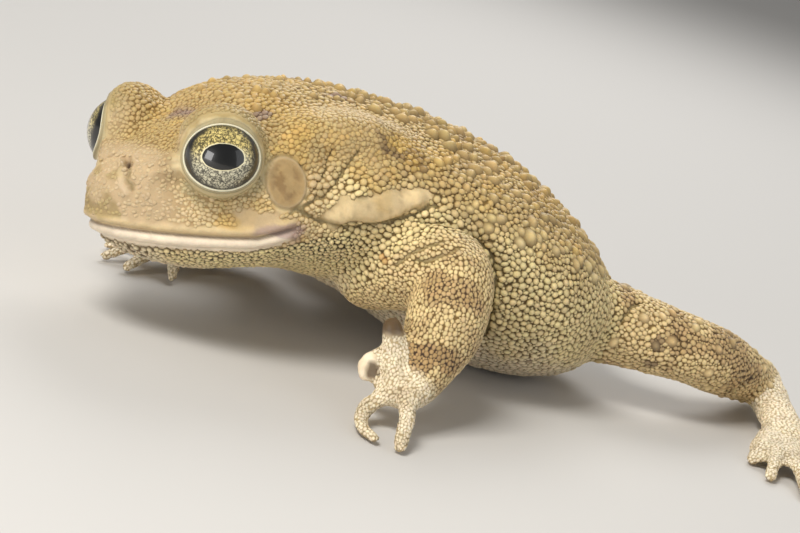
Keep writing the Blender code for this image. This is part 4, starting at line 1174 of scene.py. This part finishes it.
class Wire:
    """An output socket that can be reckoned with. Each operator adds the node that does it."""

    def __init__(self, tree, socket=None):
        self.tree, self.socket = tree, socket

    def node(self, kind, settings, values, output=0):
        """Adds a node: settings first, then its inputs, each a plain value or another wire."""
        made = self.tree.nodes.new(kind)
        for name, value in settings.items():
            setattr(made, name, value)
        for name, value in values.items():
            if isinstance(value, Wire):
                self.tree.links.new(value.socket, made.inputs[name])
            else:
                made.inputs[name].default_value = value
        return Wire(self.tree, made.outputs[output])

    def reckon(self, operation, first, second=0.0):
        """One Math node on two values."""
        return self.node("ShaderNodeMath", {"operation": operation}, {0: first, 1: second})

    def __add__(self, other):
        return self.reckon("ADD", self, other)

    def __sub__(self, other):
        return self.reckon("SUBTRACT", self, other)

    def __rsub__(self, other):
        return self.reckon("SUBTRACT", other, self)

    def __mul__(self, other):
        return self.reckon("MULTIPLY", self, other)

    def __truediv__(self, other):
        return self.reckon("DIVIDE", self, other)

    __radd__, __rmul__ = __add__, __mul__

    def rise(self, low, high):
        """An S-shaped rise from 0 to 1 between two values."""
        return self.node("ShaderNodeMapRange", {"interpolation_type": "SMOOTHSTEP"},
                         {"Value": self, "From Min": low, "From Max": high})

    def mixed(self, other, share):
        """This colour turned into another by a share."""
        return self.node("ShaderNodeMix", {"data_type": "RGBA"}, {0: share, 6: self, 7: other}, output=2)

    def scaled(self, factor):
        """This colour times a number."""
        return self.node("ShaderNodeVectorMath", {"operation": "SCALE"}, {0: self, "Scale": factor})

    def hypot(self, other):
        """The root of the sum of both squares."""
        return self.reckon("SQRT", self * self + other * other)

    def texture(self, kind, output=0, settings=None, **inputs):
        """A texture read at this vector."""
        return self.node("ShaderNodeTex" + kind, settings or {}, {"Vector": self, **inputs}, output)

    def grain(self, size, detail):
        """A noise texture with grains of a size in millimetres."""
        return self.texture("Noise", Scale=1 / (size * MM), Detail=detail)


def plug(wire, shader, name):
    """Joins a wire to one of the shader's inputs."""
    wire.tree.links.new(wire.socket, shader.inputs[name])


# %% Skin material


def skin_material():
    """Skin: the painted colour made uneven, smoother tops, a fine grain and a little light inside."""
    material, shader = new_material("toad_skin", {
        "Subsurface Weight": 0.12, "Subsurface Radius": (1.0, 0.55, 0.3), "Subsurface Scale": 0.8 * MM,
        "Specular IOR Level": 0.5,
    })
    start = Wire(material.node_tree)
    place = start.node("ShaderNodeTexCoord", {}, {}, "Object")
    colour = start.node("ShaderNodeAttribute", {"attribute_name": "paint"}, {}, "Color")
    cap = start.node("ShaderNodeAttribute", {"attribute_name": "cap"}, {}, "Fac")
    speck = place.grain(0.25, 2.0)
    plug(colour.scaled(0.80 + 0.26 * place.grain(0.9, 4.0) + 0.14 * speck), shader, "Base Color")
    plug(0.56 - 0.15 * cap + 0.10 * speck, shader, "Roughness")
    height = {"Strength": 0.35, "Distance": 0.12 * MM, "Height": place.grain(0.22, 3.0)}
    plug(start.node("ShaderNodeBump", {}, height), shader, "Normal")
    return material


toad_skin = skin_material()

# %% Eye material
PUPIL, IRIS_EDGE = (2.8, 1.75), 4.55        # half width and half height, and the iris's radius
IRIS = {"gold": (236, 214, 136), "silver": (214, 208, 180), "dark": (34, 30, 20), "rim": (240, 230, 190)}
BLACK = (0.002, 0.002, 0.002, 1)


def eye_material():
    """Eye: metal colours with dark veins, an oval pupil, sqrt((x/a)^2 + (y/b)^2) < 1, and a clear coat."""
    material, shader = new_material("toad_eye", {
        "Roughness": 0.35, "Metallic": 0.25, "Coat Weight": 1.0, "Coat Roughness": 0.02,
    })
    start = Wire(material.node_tree)
    look = start.node("ShaderNodeAttribute", {"attribute_name": "look"}, {}, "Vector")
    parts = look.node("ShaderNodeSeparateXYZ", {}, {"Vector": look})
    along, up = parts, Wire(parts.tree, parts.socket.node.outputs[1])
    wobble = look.texture("Noise", Scale=1.1, Detail=2.0) - 0.5
    from_pupil = (along / PUPIL[0]).hypot(up / PUPIL[1]) + 0.10 * wobble
    from_middle = along.hypot(up)
    swirl = {0: look.texture("Noise", 1, Scale=2.0, Detail=3.0), 1: (0.7,) * 3, 2: look}
    warped = look.node("ShaderNodeVectorMath", {"operation": "MULTIPLY_ADD"}, swirl)
    veins = warped.texture("Voronoi", settings={"feature": "DISTANCE_TO_EDGE"}, Scale=1.7)
    flecks = look.texture("Noise", Scale=2.6, Detail=6.0, Roughness=0.75)
    gold, silver, dark, rim = ((*linear(*rgb), 1) for rgb in IRIS.values())
    metal = start.node("ShaderNodeMix", {"data_type": "RGBA"}, {0: up.rise(-2.0, 2.2), 6: silver, 7: gold}, 2)
    reticle = (1 - veins.rise(0.02, 0.16)) * flecks.rise(0.34, 0.48)
    iris = metal.mixed(dark, start.reckon("MAXIMUM", reticle * 0.85, flecks.rise(0.50, 0.56) * 0.9))
    iris = iris.mixed(dark, (from_middle + 0.8 * wobble).rise(3.8, IRIS_EDGE) * 0.9)
    iris = iris.mixed(rim, from_pupil.rise(1.12, 1.08) * 0.9)
    iris = iris.mixed(BLACK, from_pupil.rise(1.05, 1.02))
    iris = iris.mixed(BLACK, from_middle.rise(IRIS_EDGE - 0.12, IRIS_EDGE + 0.1))
    plug(iris, shader, "Base Color")
    return material


toad_eye = eye_material()
print("materials:", toad_skin.name, toad_eye.name)

# %% [markdown]
# ## Finish the skin
#
# The skin's mesh takes its colours: between the granules it has the colour of the grooves, partly
# its own and partly painted shade, and where it is bare, on lips, lids and eardrum, it has the
# colour of the tops.

# %% Skin object
FLESH = [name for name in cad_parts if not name.startswith("eye_")]


def write_values(mesh, name, values):
    """Stores a number or a colour for each point."""
    values = np.asarray(values, float)
    if values.ndim == 1:
        mesh.attributes.new(name, "FLOAT", "POINT").data.foreach_set("value", values)
    else:
        layer = mesh.color_attributes.new(name, "FLOAT_COLOR", "POINT")
        layer.data.foreach_set("color", np.column_stack([values, np.ones(len(values))]).ravel())


def shown(name, mesh, material):
    """Adds a finished mesh, smooth and riding on the toad's one body."""
    mesh.materials.append(material)
    mesh.shade_smooth()
    piece = linked(name, mesh)
    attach(piece, "root")
    return piece


write_values(skin_mesh, "paint", skin_grooves + (skin_tops - skin_grooves) * skin_bare[:, None])
write_values(skin_mesh, "cap", skin_bare)
skin_normals = vectors_of(skin_mesh, "normal")
skin_mesh.vertices.foreach_set("co", placed(skin_points).ravel())
skin_mesh.update()
skin = shown("toad_skin", skin_mesh, toad_skin)
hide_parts(*FLESH)
print("skin triangles:", triangles_of(skin_mesh))

# %% [markdown]
# ## Where granules grow
#
# Granules cover everything but lips, lids and eardrums, smallest on hands and face and largest
# on the back. Candidates are scattered evenly over the skin with a fixed seed, and taken one
# after another: each taken granule tells its neighbours how much room they have left, so a few
# large warts come first, then the usual granules, then small ones in what gaps remain.

# %% Scatter
CANDIDATES = 420000
CROWDING = 0.82                # distance of two granules over the sum of their radii
GROWTH = 1.25                  # a granule may fill its gap up to this share of its own radius
ROOM = 9.0                     # radius left before any granule is taken
TOP_OF_LIDS = ((8.0, 16.5, 25.0), (6.5, 6.0, 3.4))
PLAIN_ABOVE = 0.4              # skin barer than this bears no granules
SEED = 5


def wanted_radius(places):
    """Radius and height of the usual granule at each place, in millimetres."""
    half, y, z = places.half, places.half[:, 1], places.half[:, 2]
    head, body, arms = places.on_head, places.body, places.limb_is(*ARMS)
    found = np.full((2, len(half)), 0.0)
    for share, *wanted in (
        (1, 0.50, 0.28),
        (smoothstep(14, 19, z) * smoothstep(30, 40, y) * body, 0.54, 0.30),
        (smoothstep(3, -4, z) * body, 0.44, 0.22),
        (head, 0.34, 0.13),
        (head * smoothstep(19, 23, y) * smoothstep(20, 23, z), 0.50, 0.30),
        (head * smoothstep(22, 25, y) * smoothstep(12, 15, z) * smoothstep(21, 19, z), 0.50, 0.24),
        (head * smoothstep(14, 9, y), 0.25, 0.07),
        (smoothstep(-1.8, -2.6, places.mouth) * smoothstep(40, 34, y) * body, 0.35, 0.26),
        (blob(half, *TOP_OF_LIDS), 0.42, 0.20),
        (smoothstep(1.6, 1.4, places.eye) * places.near_eye, 0.27, 0.08),
        (blob(half, PAROTOID[0], np.array(PAROTOID[1]) * 1.2), 0.36, 0.09),
        (on_bulge(half), 0.30, 0.06),
        (places.limb, 0.44, 0.20),
        (arms, 0.35, 0.12),
        (places.limb_is(*DIGITS), 0.26, 0.07),
        (arms * smoothstep(0.75, 0.9, places.along), 0.28, 0.09),
        (places.limb_is(*FEET), 0.34, 0.15),
    ):
        found += (np.array(wanted)[:, None] - found) * share
    return found


class Samples:
    """Points scattered evenly over the skin, with what is known of the skin there."""

    def __init__(self, mesh, draw, count):
        mesh.calc_loop_triangles()
        corners = np.empty(len(mesh.loop_triangles) * 3, np.int32)
        mesh.loop_triangles.foreach_get("vertices", corners)
        corners = corners.reshape(-1, 3)
        a, b, c = (skin_points[corners[:, i]] for i in range(3))
        area = np.linalg.norm(np.cross(b - a, c - a), axis=1) / 2
        chosen = draw.choice(len(area), count, p=area / area.sum())
        share = draw.random((count, 2))
        over = share.sum(1) > 1
        share[over] = 1 - share[over]
        self.corners = corners[chosen]
        self.weights = np.column_stack([1 - share.sum(1), share])
        self.points = self.blend(skin_points)
        self.normals = unit(self.blend(skin_normals))
        self.area = area.sum()

    def blend(self, values):
        """Values of the skin's points, blended over each triangle."""
        return np.einsum("nk,nk...->n...", self.weights, values[self.corners])


def thrown(samples, radius, warty, draw):
    """Indices and radii of granules that keep clear of one another."""
    tree = KDTree(len(samples.points))
    for index, point in enumerate(samples.points.tolist()):
        tree.insert(point, index)
    tree.balance()
    room = [ROOM] * len(radius)
    taken = []
    order = draw.permutation(len(radius))
    # Each round has its radii, and the share of its radius that a granule must find free.
    rounds = ((warty, 1.0), (radius, 1.0), (radius * 0.72, 0.92), (radius * 0.5, 0.9))
    for wanted, least in rounds:
        largest = float(wanted.max())
        sizes = wanted.tolist()
        for index in order[wanted[order] > 0].tolist():
            size = sizes[index]
            if room[index] < size * least:
                continue
            size = min(size * GROWTH, room[index])
            taken.append((index, size))
            reach = CROWDING * (size + GROWTH * largest)
            for _, other, away in tree.find_range(samples.points[index], reach):
                left = away / CROWDING - size
                if left < room[other]:
                    room[other] = left
    return np.array([i for i, _ in taken]), np.array([size for _, size in taken])


draw = np.random.default_rng(SEED)
samples = Samples(skin_mesh, draw, CANDIDATES)
blend = samples.blend
_, back_at, up_at = blend(skin_places.half).T
usual, _ = wanted_radius(skin_places)
radius = blend(usual) * draw.uniform(0.85, 1.12, CANDIDATES)
on_floor = (samples.points[:, 2] < 0.8) & (samples.normals[:, 2] < -0.3)
radius[(blend(skin_bare) > PLAIN_ABOVE) | on_floor] = 0
snout = smoothstep(15, 8, back_at) * blend(skin_places.on_head)
radius[draw.random(CANDIDATES) < 0.90 * snout] = 0
smooth = blend(on_bulge(skin_places.half))
radius[draw.random(CANDIDATES) < 0.955 * smooth] = 0
gland = blend(blob(skin_places.half, PAROTOID[0], np.array(PAROTOID[1]) * 1.1))
radius[blend(skin_places.on_line["fold"]) > 0.35] = 0
body_there = blend(skin_places.body)

# %% Warts
back = np.maximum(smoothstep(19, 24, up_at), smoothstep(48, 54, back_at) * smoothstep(13, 19, up_at))
back *= smoothstep(36, 42, back_at)
back *= body_there
crown = smoothstep(20, 23, up_at) * smoothstep(20, 23, back_at) * body_there
legs = blend(skin_places.limb_is(*LEGS))
warty = np.zeros(CANDIDATES)
for zone, share, least, most in (      # of each zone's candidates, the share that are warts of these radii
    (back, 0.0090, 0.72, 1.02), (crown, 0.0030, 0.50, 0.68), (legs, 0.0030, 0.60, 0.80),
):
    hit = (zone > 0.5) & (draw.random(CANDIDATES) < share)
    warty[hit] = draw.uniform(least, most, hit.sum())
warty[(radius == 0) | (smooth + gland > 0.1)] = 0
chosen, sizes = thrown(samples, radius, warty, draw)
print("granules:", len(chosen), "on", round(float(samples.area)), "square millimetres")

# %% [markdown]
# ## Granules
#
# Each granule is a closed dome: rings of points that narrow towards the top, with the lowest
# ring sunk into the skin. Its long axis lies roughly along the body. Large warts have more rings
# and a blunter cone. The colour runs from the groove's at the foot to the top's, so the foot is
# darker, partly by the skin's own colour and partly by painted shade. Each dome is one small
# patch in a flat map of the body, where the trunk is unrolled like a cylinder and every limb has
# a strip of its own.

# %% Dome shapes
# Each shape is its number of sides and its rings: radius, height and share of the top's colour.
LOW_DOME = (7, ((1.18, -0.30, 0.0), (1.0, 0.24, 0.2), (0.70, 0.80, 0.8), (0.0, 1.0, 1.0)))
TALL_DOME = (10, ((1.45, -0.12, 0.0), (1.12, 0.14, 0.2), (0.84, 0.44, 0.5), (0.54, 0.77, 0.8),
                  (0.24, 0.95, 1.0), (0.0, 1.0, 1.2)))
WART_FROM = 0.70               # radius from which a granule counts as a wart
PATCH = 0.0015                 # half width of a granule's patch in the flat map
COAT_LIMIT = 190000            # triangles in one piece


def dome(sides, profile):
    """A closed dome of rings (r cos a, r sin a, h): its points, their shares of colour and its faces."""
    *rings, (_, top_height, top_cap) = profile
    radius, height, caps = np.repeat(rings, sides, axis=0).T
    angle = np.tile(round_angles(sides), len(rings))
    points = np.column_stack([radius * np.cos(angle), radius * np.sin(angle), height])
    last = (len(rings) - 1) * sides
    faces = [list(range(sides))[::-1]] + band(len(rings), sides)
    faces += [[last + i, last + (i + 1) % sides, last + sides] for i in range(sides)]
    return np.vstack([points, (0, 0, top_height)]), np.append(caps, top_cap), faces


def unrolled(places):
    """Place of each root in the flat map: the body above, limbs in strips, digits in a row on top."""
    rows = np.asarray(BODY)
    level = np.interp(places.straight[:, 1], rows[:, 0], rows[:, 1])
    round_body = np.arctan2(places.straight[:, 0], level - places.straight[:, 2]) / (2 * np.pi) + 0.5
    flat = np.column_stack([0.01 + 0.98 * round_body, 0.01 + 0.58 * places.straight[:, 1] / 100])
    names = list(CURVES)
    for limbs, low, high in ((True, 0.60, 0.85), (False, 0.85, 1.0)):
        cells = [name for name in names if (name in LIMBS) == limbs]
        for order, name in enumerate(cells):
            on = (places.limb > 0.5) & (places.tube == names.index(name))
            curve = CURVES[name]
            away = places.pose[on] - curve[(places.along[on] * (len(curve) - 1)).astype(int), :3]
            side = np.cross(places.lie[on], (0, 0, 1.0))
            upright = np.cross(side, places.lie[on])
            turn = np.arctan2(np.einsum("ni,ni->n", away, side), np.einsum("ni,ni->n", away, upright))
            inside = 0.05 + 0.9 * (turn / (2 * np.pi) + 0.5)
            flat[on, 0] = (order + inside) / len(cells)
            flat[on, 1] = low + (high - low) * (0.05 + 0.9 * places.along[on])
    return flat


# %% Lay of the granules
count = len(sizes)
roots, root_normals = samples.points[chosen], samples.normals[chosen]
root_places = Places(roots, marks)
tops, grooves, _ = paint(root_places)
usual_size, usual_height = wanted_radius(root_places)
is_wart = sizes > WART_FROM
tall = usual_height * np.clip(sizes / usual_size, 0.5, 1.4) * draw.uniform(0.8, 1.2, count)
crest_wart = sizes * (1 + 0.7 * smoothstep(21, 26, root_places.half[:, 2]))
tall = np.where(is_wart, crest_wart * draw.uniform(0.5, 0.72, count), tall)
sideways = unit(np.cross(root_normals, root_places.lie))
lengthways = np.cross(sideways, root_normals)
swing = np.radians(draw.uniform(-35, 35, count))[:, None]
long_axis = lengthways * np.cos(swing) + sideways * np.sin(swing)
short_axis = np.cross(root_normals, long_axis)
stretch = draw.uniform(1.0, 1.22, count)
flat_map = unrolled(root_places)
tone = draw.uniform(0.90, 1.10, (count, 1)) * (1 + draw.uniform(-0.02, 0.02, (count, 3)))
print("roots laid out:", count, "of which warts:", is_wart.sum())

# %% Build the granules


def granule_mesh(name, members, shape):
    """Joined domes for the members, with colour, height share and map."""
    points, caps, faces = dome(*shape)
    size, stretched, groove = sizes[members, None], stretch[members, None], grooves[members, None]
    local = points[None] * np.stack([size * stretched, size / stretched, tall[members, None]], -1)
    phase = draw.uniform(0, 6.28, (len(members), 1))
    lumpy = 1 + 0.10 * np.sin(phase + 2 * np.arctan2(points[:, 1], points[:, 0])[None])
    world = (
        roots[members, None]
        + long_axis[members, None] * (local[..., 0] * lumpy)[..., None]
        + short_axis[members, None] * (local[..., 1] * lumpy)[..., None]
        + root_normals[members, None] * local[..., 2:]
    )
    world[..., 2] = np.maximum(world[..., 2], FLOOR_CLEARANCE / 2)
    starts = range(0, len(members) * len(points), len(points))
    all_faces = [[corner + start for corner in face] for start in starts for face in faces]
    mesh = mesh_from(name, placed(world.reshape(-1, 3)), all_faces)
    # from the groove's colour at the foot to the top's: the darker foot is partly the skin's own colour and
    # partly painted shade between the granules
    colour = groove + (tops[members, None] * tone[members, None] - groove) * caps[None, :, None]
    write_values(mesh, "paint", colour.reshape(-1, 3))
    write_values(mesh, "cap", np.tile(caps, len(members)))
    corners = points[None, np.concatenate(faces), :2]
    patch = flat_map[members, None] + corners / abs(points[:, :2]).max() * PATCH
    mesh.uv_layers.new(name="OFBake").data.foreach_set("uv", np.clip(patch, 0, 1).astype(np.float32).ravel())
    return mesh


REGION_NAMES = (
    "warts", "granules_head", "granules_neck", "granules_back", "granules_left", "granules_right",
    "granules_belly", "granules_arms", "granules_legs",
)
half, on_limb = root_places.half, root_places.limb > 0.5
front_limb = root_places.limb_is(*ARMS, "left_finger", "right_finger") > 0.5
region = np.select(
    [is_wart, on_limb & front_limb, on_limb, half[:, 1] < 22, half[:, 1] < 34,
     half[:, 2] < 3, half[:, 2] > 18, root_places.straight[:, 0] > 0],
    [0, 7, 8, 1, 2, 6, 3, 4], 5,          # the name's number, by the first test that holds
)
total = 0
for number, name in enumerate(REGION_NAMES):
    members = np.flatnonzero(region == number)
    shape = LOW_DOME if number else TALL_DOME
    each = sum(len(face) - 2 for face in dome(*shape)[2])
    pieces = max(1, int(np.ceil(len(members) * each / COAT_LIMIT)))
    total += len(members) * each
    for part, share in enumerate(np.array_split(members, pieces)):
        piece = shown(f"{name}_{part + 1}", granule_mesh(name, share, shape), toad_skin)
    print(name, len(members), "in", pieces)
print("granule triangles:", total)

# %% [markdown]
# ## Eyes
#
# Each eyeball is a sphere turned along its gaze, from the pole in the middle of the pupil. Its
# points carry their own place, in millimetres along, up and out of the eye, for the shader. Two
# thin rolls run round the opening, one where lid and eyeball meet and one just outside it.

# %% Eyeballs and lid rolls
ROLL_HEIGHT = 0.08             # of a lid roll's centre line above the eyeball
OUTER_ROLL = (1.12, 0.12)      # its place as a share of the opening's edge, and its radius


def eyeball(side):
    """A sphere of rings about the gaze, R (sin t cos a, sin t sin a, cos t) in the eye's axes."""
    poles = EYE_RADIUS * np.array([(0, 0, 1), (0, 0, -1)])
    look = EYE_RADIUS * unit_sphere(64, 96)
    look = look if side < 0 else look[:, ::-1]
    solid, faces = rings_to_mesh((look @ EYE_AXES + EYE) * (side, 1, 1))
    solid[-2:] = (poles @ EYE_AXES + EYE) * (side, 1, 1)
    return solid, faces, np.vstack([look.reshape(-1, 3), poles])


def lid_roll(side, share=1.0, radius=0.14, around=10, steps=120):
    """A thin closed ring along the lids' edge: centre + r (outward sin a + across cos a)."""
    turn = round_angles(steps)
    off = opening_edge(turn) * share
    outward = np.stack([np.sin(off) * np.cos(turn), np.sin(off) * np.sin(turn), np.cos(off)], -1) @ EYE_AXES
    centre = EYE + outward * (EYE_RADIUS + ROLL_HEIGHT)
    along = unit(np.roll(centre, -1, 0) - np.roll(centre, 1, 0))
    across = np.cross(along, outward)
    angle = round_angles(around)[None, :, None]
    rings = centre[:, None] + radius * (outward[:, None] * np.sin(angle) + across[:, None] * np.cos(angle))
    row = np.arange(steps)[:, None] * around
    later = (np.arange(steps)[:, None] + 1) % steps * around
    here, after = np.arange(around)[None], (np.arange(around)[None] + 1) % around
    faces = np.stack([row + here, later + here, later + after, row + after], -1).reshape(-1, 4)
    return rings.reshape(-1, 3) * (side, 1, 1), (faces if side > 0 else faces[:, ::-1]).tolist()


for side, word in ((1, "left"), (-1, "right")):
    points, faces, looks = eyeball(side)
    ball = mesh_from(f"eyeball_{word}", placed(spine.bend(points)), faces)
    ball.attributes.new("look", "FLOAT_VECTOR", "POINT").data.foreach_set("vector", looks.ravel())
    eye = shown(f"eyeball_{word}", ball, toad_eye)
    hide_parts(f"eye_{word}")
    points, faces = joined([lid_roll(side), lid_roll(side, *OUTER_ROLL)])
    roll_mesh = mesh_from(f"lid_roll_{word}", placed(spine.bend(points)), faces)
    write_values(roll_mesh, "paint", np.tile(COLOURS["lid_roll"][0], (len(points), 1)))
    write_values(roll_mesh, "cap", np.ones(len(points)))
    shown(f"lid_roll_{word}", roll_mesh, toad_skin)
print("eyes and lid rolls made")
